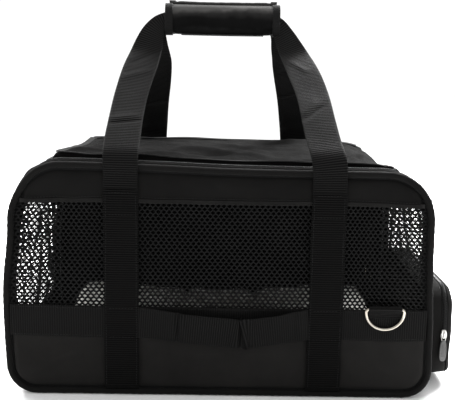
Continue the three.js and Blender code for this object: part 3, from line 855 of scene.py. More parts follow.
GRIP_PAINTED_SHEEN = painted_sheen_grip_mat()
THREAD = moulded_mat("thread_black", c(0.0035), c(0.0075), (0.45, 0.6), 0.15, 1600)
COIL = moulded_mat("zip_nylon", c(0.005), c(0.009), (0.32, 0.45), 0.2, 1200, 0.00003)
NICKEL = metal_mat("nickel", (0.30, 0.275, 0.235), (0.44, 0.41, 0.36), (0.12, 0.26))
ZAMAK = metal_mat("zip_metal", (0.34, 0.33, 0.31), (0.48, 0.47, 0.45), (0.2, 0.36))
WIREM = metal_mat("spring_wire", (0.20, 0.20, 0.21), (0.34, 0.34, 0.35), (0.3, 0.5))
RUBBER = moulded_mat("pull_rubber", c(0.085, 0.01), c(0.125, 0.01), (0.5, 0.7), 0.3, 700, 0.00012)
BOARD = moulded_mat("fibre_board", c(0.018), c(0.034), (0.7, 0.85), 0.2, 500, 0.0002)
HOOK = moulded_mat("hook_tape", c(0.008), c(0.016), (0.8, 0.95), 0.15, 1300, 0.0006)


# =====================================================================
# helpers for sewn panels
# =====================================================================
CENTRE = np.array([0, 0, 128.0])


def orient(o, centre=CENTRE):
    """Turns a sheet's faces so that they look away from a point."""
    me = o.data
    n = len(me.polygons)
    c, nn = np.zeros(n * 3, np.float32), np.zeros(n * 3, np.float32)
    me.polygons.foreach_get("center", c)
    me.polygons.foreach_get("normal", nn)
    d = ((c.reshape(-1, 3) / MM - np.asarray(centre)) * nn.reshape(-1, 3)).sum()
    if d < 0:
        me.flip_normals()
        me.update()
    return o


def recalc(o):
    import bmesh
    bm = bmesh.new()
    bm.from_mesh(o.data)
    bmesh.ops.recalc_face_normals(bm, faces=bm.faces)
    bm.to_mesh(o.data)
    bm.free()
    o.data.update()
    return o


def edge_dist(x, z, inset):
    """How far a point of the front or rear face is inside the outline moved in by inset."""
    x, z = np.abs(np.asarray(x, float)), np.asarray(z, float)
    e = np.minimum(np.minimum(HL - inset - x, z - inset), H - inset - z)
    lo = (z < RB) & (x > HL - RB)
    hi = (z > H - RT) & (x > HL - RT)
    e = np.where(lo, (RB - inset) - np.hypot(x - (HL - RB), RB - z), e)
    return np.where(hi, (RT - inset) - np.hypot(x - (HL - RT), z - (H - RT)), e)


def bays(x, straps, edge=231.0, half=19.0, power=0.6):
    """1 in the middle of each bay between the sewn straps, 0 at the straps and the ends."""
    x = np.asarray(x, float)
    cuts = [(-edge, straps[0] - half), (straps[0] + half, straps[1] - half), (straps[1] + half, edge)]
    out = np.zeros_like(x)
    for a, b in cuts:
        t = np.clip((x - a) / (b - a), 0, 1)
        out = np.maximum(out, np.sin(np.pi * t) ** power)
    return out


def face_panel(name, side, zs, inset, y0, puff, nu, mats, u_extra=()):
    """A panel of the front (-1) or rear (+1) face, in rows that follow the rounded outline."""
    U = np.sin(np.linspace(-np.pi / 2, np.pi / 2, nu)) * 0.35 + np.linspace(-1, 1, nu) * 0.65
    u, z = np.meshgrid(U, zs)
    u, z = u.ravel(), z.ravel()
    x = u * half_width(z, inset)
    e = edge_dist(x, z, inset)
    y = side * (y0 + puff(x, z, e) - 3.3 * np.exp(-np.maximum(e, 0) / 2.3))
    P = soft(np.stack([x, y, z], 1))
    o = mesh_obj(name, P, grid_faces(nu, len(zs)), uv=np.stack([x, z], 1), mats=mats)
    return orient(o)


def corner_rows(z0, z1, step, fine=True):
    """Rows of heights, denser where the bottom or top corners turn."""
    out = [z0]
    while out[-1] < z1 - 0.01:
        z = out[-1]
        k = step
        if fine and z < 26:
            k = min(step, max(0.35, (z - 8) * 0.22 + 0.35))
        if fine and z > H - 26:
            k = min(step, max(0.35, (H - 8 - z) * 0.22 + 0.35))
        out.append(min(z1, z + k))
    return np.array(out)


# ---------------------------------------------------------------------
# front and rear faces
# ---------------------------------------------------------------------
def lower_puff(x, z, e):
    b = bays(x, STRAP_XF)
    v = sstep(6, 34, z) * (1 - 0.55 * sstep(48, 70, z)) * (1 - sstep(92, 106, z))
    w = 0.45 * waves(np.stack([x, z], 1), 62, 21) * sstep(0, 14, e)
    folds = crease(x, z, (-150, 58), (-226, 20), 5, 0.7) + crease(x, z, (-80, 62), (-30, 24), 7, 0.6) + crease(x, z, (92, 56), (40, 18), 7, 0.55)
    folds += crease(x, z, (140, 60), (206, 22), 6, 0.7) + crease(x, z, (-128, 40), (-150, 12), 4, 0.5)
    return (2.1 * b * v + w * b + folds * b) * 1.0


front_lower = face_panel("v_front_lower_panel", -1, corner_rows(9.2, 103.0, 3.2), 9.1, 142.6, lower_puff, 150, [FAB_PAINTED_LIGHT, LINING])
solidify(front_lower, 1.9, inner=1)
place(front_lower, "shell", "fabric", "front_lower_panel")


def upper_puff(x, z, e):
    b = bays(x, STRAP_XF, power=0.5)
    w = 0.4 * waves(np.stack([x, z], 1), 70, 22) * sstep(0, 8, e)
    return (1.0 * sstep(247, 236, z) * (0.5 + 0.5 * b) + w * b)


front_upper = face_panel("v_front_upper_band", -1, corner_rows(220.6, 247.8, 2.2), 9.1, 142.8, upper_puff, 150, [FAB_PAINTED_SHADE, LINING])
solidify(front_upper, 1.9, inner=1)
place(front_upper, "shell", "fabric", "front_upper_band")


def front_net_pt(u, v, w):
    e = edge_dist(u, v, 8.0)
    y = -(142.2 + 0.35 * waves(np.stack([u, v], 1), 55, 31) + 0.5 * bays(u, STRAP_XF) * np.sin(np.clip((v - 104) / 118, 0, 1) * np.pi)) - w
    return soft(np.stack([u, y, v], 1))


front_net = net("v_front_mesh", front_net_pt, lambda u, v: (np.abs(u) < half_width(v, 9.0)) & (v > 100.5) & (v < 225), -232, 232, 99, 227, NETM)
place(front_net, "shell", "net", "front_mesh")


def rear_puff(x, z, e):
    b = bays(x, STRAP_XR, power=0.55)
    v = np.sin(np.clip((z - 6) / 244, 0, 1) * np.pi) ** 0.5 * (1 - 0.6 * np.exp(-((z - 86) / 20) ** 2))
    q = np.stack([x, z], 1)
    w = (0.9 * waves(q, 95, 41) + 0.35 * waves(q, 42, 42)) * sstep(0, 22, e)
    folds = (crease(x, z, (-90, 216), (-10, 150), 9, 1.8) + crease(x, z, (84, 220), (8, 168), 8, 1.5) + crease(x, z, (-62, 232), (52, 226), 7, 1.0)
             + crease(x, z, (-216, 214), (-140, 160), 8, 1.5) + crease(x, z, (220, 206), (138, 150), 8, 1.4)
             + crease(x, z, (-70, 128), (40, 122), 9, 1.1) + crease(x, z, (-212, 30), (-140, 60), 7, 1.0) + crease(x, z, (-60, 22), (20, 48), 8, 1.0)
             + crease(x, z, (210, 30), (150, 58), 7, 1.0) - crease(x, z, (-84, 196), (0, 136), 6, 1.1))
    return 2.0 * b * v + (w + folds) * b


rear_panel = face_panel("v_rear_panel", 1, corner_rows(9.2, 247.8, 3.4), 9.1, 142.6, rear_puff, 150, [FAB_PAINTED_SHADE, LINING])
solidify(rear_panel, 1.9, inner=1)
place(rear_panel, "shell", "fabric", "rear_panel")

# rolled hem at the foot of the upper band, with its row of stitches
def hem(name, side, z, half, x0, x1, y, mat, body_mat=None):
    xs = lines(x0, x1, 3.0)
    C = soft(np.stack([xs, np.full(len(xs), side * y) , np.full(len(xs), z) + 0.35 * waves(xs[:, None], 60, 7)], 1))
    A = np.tile([0, 0, 1.0], (len(xs), 1))
    N = np.tile([0, float(side), 0], (len(xs), 1))
    return recalc(ribbon(name, C, A, N, half, mat, T=1.15, rib=1.1, amp=0.0, cols=7, s=xs))


hem_front = hem("v_front_mesh_binding", -1, 220.6, 2.2, -half_width(np.array([222.4]), 9.4)[0], half_width(np.array([222.4]), 9.4)[0], 144.2, FAB)
place(hem_front, "shell", "fabric", "front_mesh_binding")


# ---------------------------------------------------------------------
# piping round both faces
# ---------------------------------------------------------------------
def piping(name, side, seed):
    s = np.linspace(0, TOTAL, 520, endpoint=False)
    x, z, nx, nz = wrap(s, 4.15)
    wob = 0.25 * waves(np.stack([x, z], 1), 45, seed)
    y = side * (141.0 + wob)
    C = np.stack([x, y, z], 1)
    C[:, 2] = np.maximum(C[:, 2], 4.0)
    C = soft(C)
    C[:, 2] = np.maximum(C[:, 2], 4.02)
    pucker = 0.045 * np.cos(2 * np.pi * s / 7.6 + 1.5 * np.sin(s / 37.0)) + 0.03 * waves(s[:, None], 19, seed + 1)
    def prof(a, i):
        k = pucker[i.ravel()][:, None]
        return 1.0 + k * (0.4 + 0.6 * np.cos(a) ** 2) - 0.03 * np.cos(4 * a)
    o = tube(name, C, PIPE, 3.75, ring=16, closed=True, ref=(0, 1, 0), prof=prof)
    return recalc(o)


place(piping("v_front_piping", -1, 51), "shell", "piping", "front_piping")
place(piping("v_rear_piping", 1, 57), "shell", "piping", "rear_piping")


def seam_binding(name, side):
    """The taped seam allowance behind the piping: it closes the seam between face, piping and wall."""
    s = np.linspace(0, TOTAL, 520, endpoint=False)
    s = np.append(s, TOTAL)
    x, z, nx, nz = wrap(s, 7.4)
    C = soft(np.stack([x, np.full(len(s), side * 139.6), z], 1))
    A = np.stack([nx, np.zeros(len(s)), nz], 1)
    N = np.tile([0, float(side), 0], (len(s), 1))
    return recalc(ribbon(name, C, A, N, 6.2, LINING, T=1.0, rib=2.0, amp=0.0, cols=4, s=s))


place(seam_binding("v_front_seam_binding", -1), "shell", "fabric")
place(seam_binding("v_rear_seam_binding", 1), "shell", "fabric")


def frame_wire(name, side):
    s = np.linspace(0, TOTAL, 220, endpoint=False)
    x, z, nx, nz = wrap(s, 5.4)
    C = soft(np.stack([x, np.full(len(s), side * 134.2), z], 1))
    return recalc(tube(name, C, WIREM, 1.25, ring=10, closed=True))


place(frame_wire("v_front_frame_wire", -1), "shell", "frame_wire", "front_frame_wire")
place(frame_wire("v_rear_frame_wire", 1), "shell", "frame_wire", "rear_frame_wire")


# ---------------------------------------------------------------------
# the wall that wraps round between the faces
# ---------------------------------------------------------------------
def wall_fn(puff):
    def fn(s, y):
        x, z, nx, nz = wrap(s)
        pull = -1.6 * np.exp(-(137.0 - np.abs(y)) / 3.0)
        k = pull + puff(s, y, x, z)
        P = np.stack([x + nx * k, y, z + nz * k], 1)
        P = soft(P)
        P[:, 2] = np.maximum(P[:, 2], 0.05)
        return P
    return fn


def base_puff(s, y, x, z):
    q = np.stack([s, y], 1)
    flat = 1 - sstep(0, 12, z)
    return -0.5 * flat * (0.5 + 0.5 * waves(q, 80, 61)) + (1 - flat) * 0.5 * waves(q, 50, 62)


sB = s_at(30.0)
base = sheet_grid("v_base_panel", lines(-sB, sB, 4.0), lines(-136.6, 136.6, 5.0), wall_fn(base_puff), [FAB, LINING])
orient(base)
solidify(base, 2.2, inner=1)
place(base, "shell", "fabric", "base_panel")

sT = s_at(222.3)
sA0, sA1 = s_top(FLAP_X1), s_top(FLAP_X0)


def top_puff(s, y, x, z):
    q = np.stack([s, y], 1)
    d = np.maximum(np.maximum(sA0 - s, s - sA1), np.abs(y) - FLAP_Y)       # from the zip opening outwards
    end = sstep(6, 30, np.maximum(sA0 - s, s - sA1))
    w = 0.55 * waves(q, 48, 64) + 0.35 * waves(q, 23, 65)
    return (0.8 * np.sin(np.clip(d / 10.5, 0, 1) * np.pi) * (1 - end) + end * (1.2 + w * 1.2)) * sstep(0, 3, d) + 0.2


top_frame = sheet_grid("v_top_frame", lines(sT, TOTAL - sT, 3.6, sA0, sA1), lines(-136.6, 136.6, 3.6, -FLAP_Y, FLAP_Y), wall_fn(top_puff), [FAB_TOP_PAINTED_SHADE, LINING],
                       keep=lambda s, y: ~((s > sA0) & (s < sA1) & (np.abs(y) < FLAP_Y)))
orient(top_frame)
solidify(top_frame, 2.0, inner=1)
place(top_frame, "shell", "fabric", "top_frame")


# ---------------------------------------------------------------------
# the two ends
# ---------------------------------------------------------------------
def end_pt(y, z, out, side):
    pull = -1.6 * np.exp(-(137.0 - np.abs(y)) / 3.0)
    x = side * (half_width(z) + out + pull)
    return soft(np.stack([x, y, z], 1))


def rr_curve(y0, y1, z0, z1, r, step=3.0, square_bottom=True, n_arc=10):
    """A rounded rectangle in (y, z), anticlockwise from the lower right, top corners round and bottom ones square or round."""
    pts = []
    def seg(a, b):
        n = max(1, int(round(math.hypot(b[0] - a[0], b[1] - a[1]) / step)))
        for i in range(n):
            pts.append((a[0] + (b[0] - a[0]) * i / n, a[1] + (b[1] - a[1]) * i / n))
    def arc(cy, cz, a0):
        for i in range(n_arc):
            a = a0 + math.pi / 2 * i / n_arc
            pts.append((cy + r * math.cos(a), cz + r * math.sin(a)))
    if square_bottom:
        seg((y1, z0), (y1, z1 - r))
    else:
        arc(y1 - r, z0 + r, -math.pi / 2)
        seg((y1, z0 + r), (y1, z1 - r))
    arc(y1 - r, z1 - r, 0)
    seg((y1 - r, z1), (y0 + r, z1))
    arc(y0 + r, z1 - r, math.pi / 2)
    if square_bottom:
        seg((y0, z1 - r), (y0, z0))
        seg((y0, z0), (y1, z0))
    else:
        seg((y0, z1 - r), (y0, z0 + r))
        arc(y0 + r, z0 + r, math.pi)
        seg((y0 + r, z0), (y1 - r, z0))
    return np.array(pts)


def ring_sheet(name, inner, outer, rings, fn, mats, ease=1.0):
    """A sheet between two closed curves of equally many points. fn(y, z, t) gives points, t 0 at the inner curve and 1 at the outer."""
    n = len(inner)
    P, UV = [], []
    for j in range(rings + 1):
        t = (j / rings) ** ease
        q = inner * (1 - t) + outer * t
        P.append(fn(q[:, 0], q[:, 1], np.full(n, t)))
        UV.append(q)
    F = grid_faces(n, rings + 1, closed_u=True)
    return mesh_obj(name, np.vstack(P), F, uv=np.vstack(UV), mats=mats)


def to_rect(curve, y0, y1, z0, z1):
    """The points of a rectangle that lie on the rays from its middle through a curve's points."""
    cy, cz = (y0 + y1) / 2, (z0 + z1) / 2
    d = curve - np.array([cy, cz])
    hy, hz = (y1 - y0) / 2, (z1 - z0) / 2
    k = 1 / np.maximum(np.abs(d[:, 0]) / hy, np.abs(d[:, 1]) / hz)
    return np.array([cy, cz]) + d * k[:, None]


door_hole = rr_curve(-DOOR_Y - 0.8, DOOR_Y + 0.8, DOOR_Z0 - 0.8, DOOR_Z1 + 0.8, DOOR_R + 0.8)
frame_rect = to_rect(door_hole, -136.6, 136.6, 30.3, 222.2)
# the corners of the rectangle are kept sharp by snapping the nearest points to them
for cy in (-136.6, 136.6):
    for cz in (30.3, 222.2):
        k = np.argmin(np.hypot(frame_rect[:, 0] - cy, frame_rect[:, 1] - cz))
        frame_rect[k] = (cy, cz)


def left_puff(y, z, t):
    q = np.stack([y, z], 1)
    return end_pt(y, z, 0.3 + 0.9 * np.sin(t * np.pi) + 0.35 * waves(q, 40, 71) * np.sin(t * np.pi), -1)


left_frame = orient(ring_sheet("v_left_end_frame", door_hole, frame_rect, 9, left_puff, [FAB, LINING]))
solidify(left_frame, 2.0, inner=1)
place(left_frame, "shell", "fabric", "left_end_frame")

d_out = rr_curve(-DOOR_Y, DOOR_Y, DOOR_Z0, DOOR_Z1, DOOR_R)
d_in = rr_curve(-DOOR_Y + 10, DOOR_Y - 10, DOOR_Z0 + 10, DOOR_Z1 - 10, DOOR_R - 10)
if len(d_in) != len(d_out):
    d_in = np.array([[0, 126.0]]) + (d_out - np.array([[0, 126.0]])) * np.array([(DOOR_Y - 10) / DOOR_Y, 80 / 90.0])


def resample_curve(c, n):
    c = np.vstack([c, c[:1]])
    d = np.concatenate([[0], np.cumsum(np.hypot(*np.diff(c, axis=0).T))])
    t = np.linspace(0, d[-1], n, endpoint=False)
    return np.stack([np.interp(t, d, c[:, 0]), np.interp(t, d, c[:, 1])], 1)


def offset_curve(c, k):
    """A closed anticlockwise curve moved out by k."""
    t = np.roll(c, -1, 0) - np.roll(c, 1, 0)
    t /= np.maximum(np.hypot(t[:, 0], t[:, 1]), 1e-9)[:, None]
    return c + np.stack([t[:, 1], -t[:, 0]], 1) * k


def border_fn(side):
    def fn(y, z, t):
        q = np.stack([y, z], 1)
        return end_pt(y, z, 0.2 + 1.0 * np.sin(np.clip(t, 0.02, 0.98) * np.pi) ** 0.6 + 0.12 * waves(q, 22, 73), side)
    return fn


door_border = orient(ring_sheet("v_end_door_border", d_in, d_out, 7, border_fn(-1), [FAB, LINING]))
solidify(door_border, 2.0, inner=1)
place(door_border, "end_door", "fabric", "end_door_border")


def rr_sdf(y, z, y0, y1, z0, z1, r, square_bottom=False):
    """How far inside a rounded rectangle a point is."""
    cy, cz = (y0 + y1) / 2, (z0 + z1) / 2
    hy, hz = (y1 - y0) / 2, (z1 - z0) / 2
    rr = np.where((z < cz) & square_bottom, 0.01, r)
    qy, qz = np.abs(y - cy) - hy + rr, np.abs(z - cz) - hz + rr
    return -(np.hypot(np.maximum(qy, 0), np.maximum(qz, 0)) + np.minimum(np.maximum(qy, qz), 0) - rr)


def door_net_pt(u, v, w):
    q = np.stack([u, v], 1)
    fold = (crease(u, v, (-96, 206), (-60, 122), 3.4, 4.2) + crease(u, v, (-78, 204), (-22, 84), 3.2, 3.6) + crease(u, v, (-20, 196), (30, 96), 3.4, 4.4) + crease(u, v, (-94, 150), (-52, 66), 3.0, 3.4)
            + crease(u, v, (18, 200), (76, 110), 3.4, 4.0) + crease(u, v, (60, 196), (94, 140), 3.0, 3.4) + crease(u, v, (36, 92), (86, 62), 3.4, 3.4))
    x = -(half_width(v) - 1.4 + 0.9 * waves(q, 60, 75) + fold + w)
    return soft(np.stack([x, u, v], 1))


door_net = net("v_end_door_mesh", door_net_pt, lambda u, v: rr_sdf(u, v, -DOOR_Y + 8, DOOR_Y - 8, DOOR_Z0 + 8, DOOR_Z1 - 8, DOOR_R - 8, True) > 0, -110, 110, 42, 210, NETM, px=4.7, pz=3.0, hx=0.57, hz=0.47)
place(door_net, "end_door", "net", "end_door_mesh")


def right_lower_pt(y, z):
    q = np.stack([y, z], 1)
    return end_pt(y, z, 0.3 + 0.5 * waves(q, 60, 77) * sstep(0, 20, 104 - z), 1)


right_lower = orient(sheet_grid("v_right_end_lower_panel", lines(-136.6, 136.6, 5), lines(30.3, 105.5, 4), right_lower_pt, [FAB, LINING]))
solidify(right_lower, 2.0, inner=1)
place(right_lower, "shell", "fabric", "right_end_lower_panel")


def right_net_pt(u, v, w):
    q = np.stack([u, v], 1)
    fold = crease(u, v, (-120, 216), (-70, 130), 3.6, 3.6) + crease(u, v, (30, 214), (60, 118), 3.2, 3.4) + crease(u, v, (78, 218), (104, 130), 3.0, 3.2) + crease(u, v, (100, 170), (130, 112), 3.0, 3.0)
    x = half_width(v) - 1.4 + 0.8 * waves(q, 58, 79) + fold + w
    return soft(np.stack([x, u, v], 1))


right_net = net("v_right_end_mesh", right_net_pt, lambda u, v: (np.abs(u) < 134.5) & (v > 101) & (v < 224), -136, 136, 100, 226, NETM, px=4.7, pz=3.0, hx=0.55, hz=0.45)
place(right_net, "shell", "net", "right_end_mesh")


def flat_tape(name, path, normal_fn, across_fn, half, T=0.9, mat=None, rib=1.1, amp=0.05):
    C = np.asarray(path, float)
    return recalc(ribbon(name, C, across_fn(C), normal_fn(C), half, mat or TAPE, T=T, rib=rib, amp=amp, cols=6))


def end_tape(name, side, z, half, slot="webbing"):
    y = lines(-134.5, 134.5, 0.55)
    P = end_pt(y, np.full(len(y), float(z)), 0.9, side)
    o = recalc(ribbon(name, P, np.tile([0, 0, 1.0], (len(y), 1)), np.tile([float(side), 0, 0], (len(y), 1)), half, TAPE, T=0.9, rib=2.2, amp=0.07, cols=6))
    return place(o, "shell", slot)


def corner_binding(name, side, y0, y1):
    def fn(y, z):
        return end_pt(y, z, 0.35 + 0.6 * np.sin(np.clip((np.abs(y) - y0) / (y1 - y0), 0, 1) * np.pi), side)
    o = orient(sheet_grid(name, lines(y0, y1, 2.5), lines(102.0, 223.0, 3.0), fn, [FAB, LINING]))
    solidify(o, 1.6, inner=1)
    return place(o, "shell", "fabric")


corner_binding("v_right_end_rear_binding", 1, 118.0, 136.6)
end_tape("v_right_end_tape_low", 1, 105, 5.0)
end_tape("v_right_end_tape_top", 1, 221.5, 4.5)


# =====================================================================
# webbing: sewn straps, bands, the seat-belt loop and the free handles
# =====================================================================
STEP = 0.625     # four points to each 2.5 mm rib


def sewn_strap(name, x0, side, seed):
    z = np.arange(7.0, 232.0 + STEP / 2, STEP)
    tuck = 3.4 * (1 - sstep(7.0, 15.0, z))
    x = x0 + 0.35 * waves(z[:, None], 90, seed)
    y = side * (146.55 - tuck + 0.25 * waves(z[:, None], 60, seed + 1) * sstep(0, 20, z))
    C = np.stack([x, y, z], 1)
    C = C + field(C) * sstep(0, 12, z)[:, None]
    T = np.gradient(C, axis=0)
    T /= np.linalg.norm(T, axis=1)[:, None]
    A = np.tile([1.0, 0, 0], (len(z), 1))
    N = np.cross(T, A) * 1.0
    N *= np.sign(N[:, 1] * side)[:, None]
    return recalc(ribbon(name, C, A, N, 19.0, WEB, T=1.35, s=z - 9, cols=9))


for tag, xs, side in (("front", STRAP_XF, -1), ("rear", STRAP_XR, 1)):
    for k, x0 in zip(("left", "right"), xs):
        place(sewn_strap(f"v_{tag}_strap_{k}", x0, side, 81 + int(x0) % 7), "shell", "webbing", f"{tag}_strap_{k}")


def cross_band(name, side, straps, seed):
    e = half_width(np.array([86.0]), 8.6)[0]
    x = np.arange(-e, e + STEP / 2, STEP)
    b = bays(x, straps, edge=e, power=0.8)
    y = side * (144.2 + 0.9 * b + 0.2 * waves(x[:, None], 70, seed))
    z = 86 + 0.4 * waves(x[:, None], 120, seed + 2)
    C = soft(np.stack([x, y, z], 1))
    A = np.tile([0, 0, 1.0], (len(x), 1))
    T = np.gradient(C, axis=0)
    T /= np.linalg.norm(T, axis=1)[:, None]
    N = np.cross(A, T)
    N *= np.sign(N[:, 1] * side)[:, None]
    return recalc(ribbon(name, C, A, N, 18.0, WEBB, T=1.3, s=x, cols=9))


place(cross_band("v_front_band", -1, STRAP_XF, 91), "shell", "webbing", "front_band")
place(cross_band("v_rear_band", 1, STRAP_XR, 95), "shell", "webbing", "rear_band")


def seatbelt_loop():
    x0, x1 = STRAP_XF[0] + 18.2, STRAP_XF[1] - 18.2
    n = int((x1 - x0) / STEP) + 8
    t = np.linspace(0, 1, n)
    x = x0 + t * (x1 - x0)
    kx = 23.3                                                  # the kink a little right of the middle
    u = np.where(x < kx, (x - x0) / (kx - x0), (x1 - x) / (x1 - kx))
    drop = 9.0 * np.clip(u, 0, 1) ** 1.12
    z = 86.4 - drop + 0.8 * np.exp(-((x - kx - 5) / 5.0) ** 2) - 0.5 * np.exp(-((x - kx + 6) / 5.0) ** 2)
    out = 8.4 * sstep(0, 0.55, u) ** 0.9
    out += np.where(x > kx, 2.6 * np.exp(-np.maximum(x - kx - 4, 0) / 22), 0) * sstep(kx - 0.4, kx + 1.6, x) - 3.4 * np.exp(-((x - kx + 1.6) / 1.7) ** 2)
    out -= 2.4 * np.exp(-((x + 47) / 2.2) ** 2) - 1.0 * np.exp(-((x + 41) / 4.0) ** 2)      # a soft crease in the left half
    out += 1.6 * np.exp(-((x - x1 + 9) / 4.5) ** 2)            # bulges where it leaves the right strap
    y = -146.2 - np.minimum(out, 10.4)
    C = soft(np.stack([x, y, z], 1))
    T = np.gradient(C, axis=0)
    T /= np.linalg.norm(T, axis=1)[:, None]
    tip = 0.16 * sstep(0, 0.5, u)                              # its foot stands further out than its head
    A = np.stack([-0.055 * np.sign(x - kx) * sstep(0.0, 0.4, u), -tip, np.ones(n)], 1)
    A -= T * (A * T).sum(1)[:, None]
    A /= np.linalg.norm(A, axis=1)[:, None]
    N = np.cross(A, T)
    N *= np.sign(-N[:, 1])[:, None]
    s = np.concatenate([[0], np.cumsum(np.linalg.norm(np.diff(C, axis=0), axis=1))])
    def warp(s_, f):                                           # the tape cups a little between its edges
        return 0.35 * (1 - f ** 2) + 0.25 * np.sin(s_ / 11.0) * f
    return recalc(ribbon("v_seatbelt_loop", C, A, N, 17.6, WEBB, T=1.5, s=s, cols=9, warp=warp))


place(seatbelt_loop(), "shell", "webbing", "seatbelt_loop")

# ---------------------------------------------------------------------
# free handles: the same lines as the CAD
# ---------------------------------------------------------------------
LEAN = 0.89233


def lean_at(s):
    return LEAN * (sstep(0, 1, (s - 22) / 30) - sstep(0, 1, (s - 198.9) / 34))


_cs = np.arange(0, 281.0)
_a = lean_at(_cs + 0.5)
_cy = FY - 1.6 + np.concatenate([[0], np.cumsum(np.sin(_a))[:-1]])
_cz = 232.3 + np.concatenate([[0], np.cumsum(np.cos(_a))[:-1]])
_cl = lean_at(_cs)


def on_curve(s):
    return np.interp(s, _cs, _cy), np.interp(s, _cs, _cz), np.interp(s, _cs, _cl)


FRONT_LINE = [[-110.5, 0, 19], [-110.5, 25, 19], [-110.5, 60, 19.5], [-109.6, 92, 19.1], [-107.0, 134, 19.3], [-100.0, 185, 20.0], [-95.8, 208, 18.7], [-92, 222, 16.5], [-87, 235, 13.2], [-79.5, 245, 10], [-70, 249, 9.4], [-54, 250.2, 11.5], [-35, 251, 13.3], [-4, 251, 13.3],
  [25, 251, 13.3], [40, 250.2, 11.5], [54, 249.0, 9.3], [62.5, 244.2, 10], [69.5, 234.5, 11.8], [76.8, 221, 14.6], [84.6, 204, 17.6], [92.6, 176, 19.2], [100.8, 136, 18.8], [105.2, 92, 18.8], [108.5, 60, 19], [113.5, 30, 19], [114.5, 12, 19], [114.5, 0, 19]]
REAR_LINE = [[-100.5, 0, 19], [-100.5, 25, 19], [-98, 60, 19.2], [-94.5, 105, 19.5], [-89, 160, 20], [-86.5, 192, 19.4], [-86.5, 208, 18], [-86.5, 222, 15.5], [-85, 235, 12.5], [-80.5, 245, 10], [-72, 249.5, 9.3], [-52, 250.2, 11.5], [-34, 251, 13.3], [-4, 251, 13.3],
  [20, 251, 13.3], [38, 250.2, 11.5], [52, 249.2, 9.3], [60.5, 244.4, 10], [66.5, 234.5, 12], [71, 221, 15.3], [76, 204, 18], [78.8, 188, 19], [84, 160, 20], [90, 120, 19.5], [96, 70, 19.2], [100.5, 25, 19], [100.5, 0, 19]]


def catmull(pts, per=40):
    """Centripetal Catmull-Rom through points."""
    p = np.asarray(pts, float)
    p = np.vstack([2 * p[0] - p[1], p, 2 * p[-1] - p[-2]])
    out = []
    for i in range(1, len(p) - 2):
        a, b, c_, d = p[i - 1:i + 3]
        t0 = 0.0
        t1 = t0 + max(np.linalg.norm(b - a), 1e-6) ** 0.5
        t2 = t1 + max(np.linalg.norm(c_ - b), 1e-6) ** 0.5
        t3 = t2 + max(np.linalg.norm(d - c_), 1e-6) ** 0.5
        t = np.linspace(t1, t2, per, endpoint=False)[:, None]
        A1 = (t1 - t) / (t1 - t0) * a + (t - t0) / (t1 - t0) * b
        A2 = (t2 - t) / (t2 - t1) * b + (t - t1) / (t2 - t1) * c_
        A3 = (t3 - t) / (t3 - t2) * c_ + (t - t2) / (t3 - t2) * d
        B1 = (t2 - t) / (t2 - t0) * A1 + (t - t0) / (t2 - t0) * A2
        B2 = (t3 - t) / (t3 - t1) * A2 + (t - t1) / (t3 - t1) * A3
        out.append((t2 - t) / (t2 - t1) * B1 + (t - t1) / (t2 - t1) * B2)
    out.append(p[-2][None, :])
    return np.vstack(out)


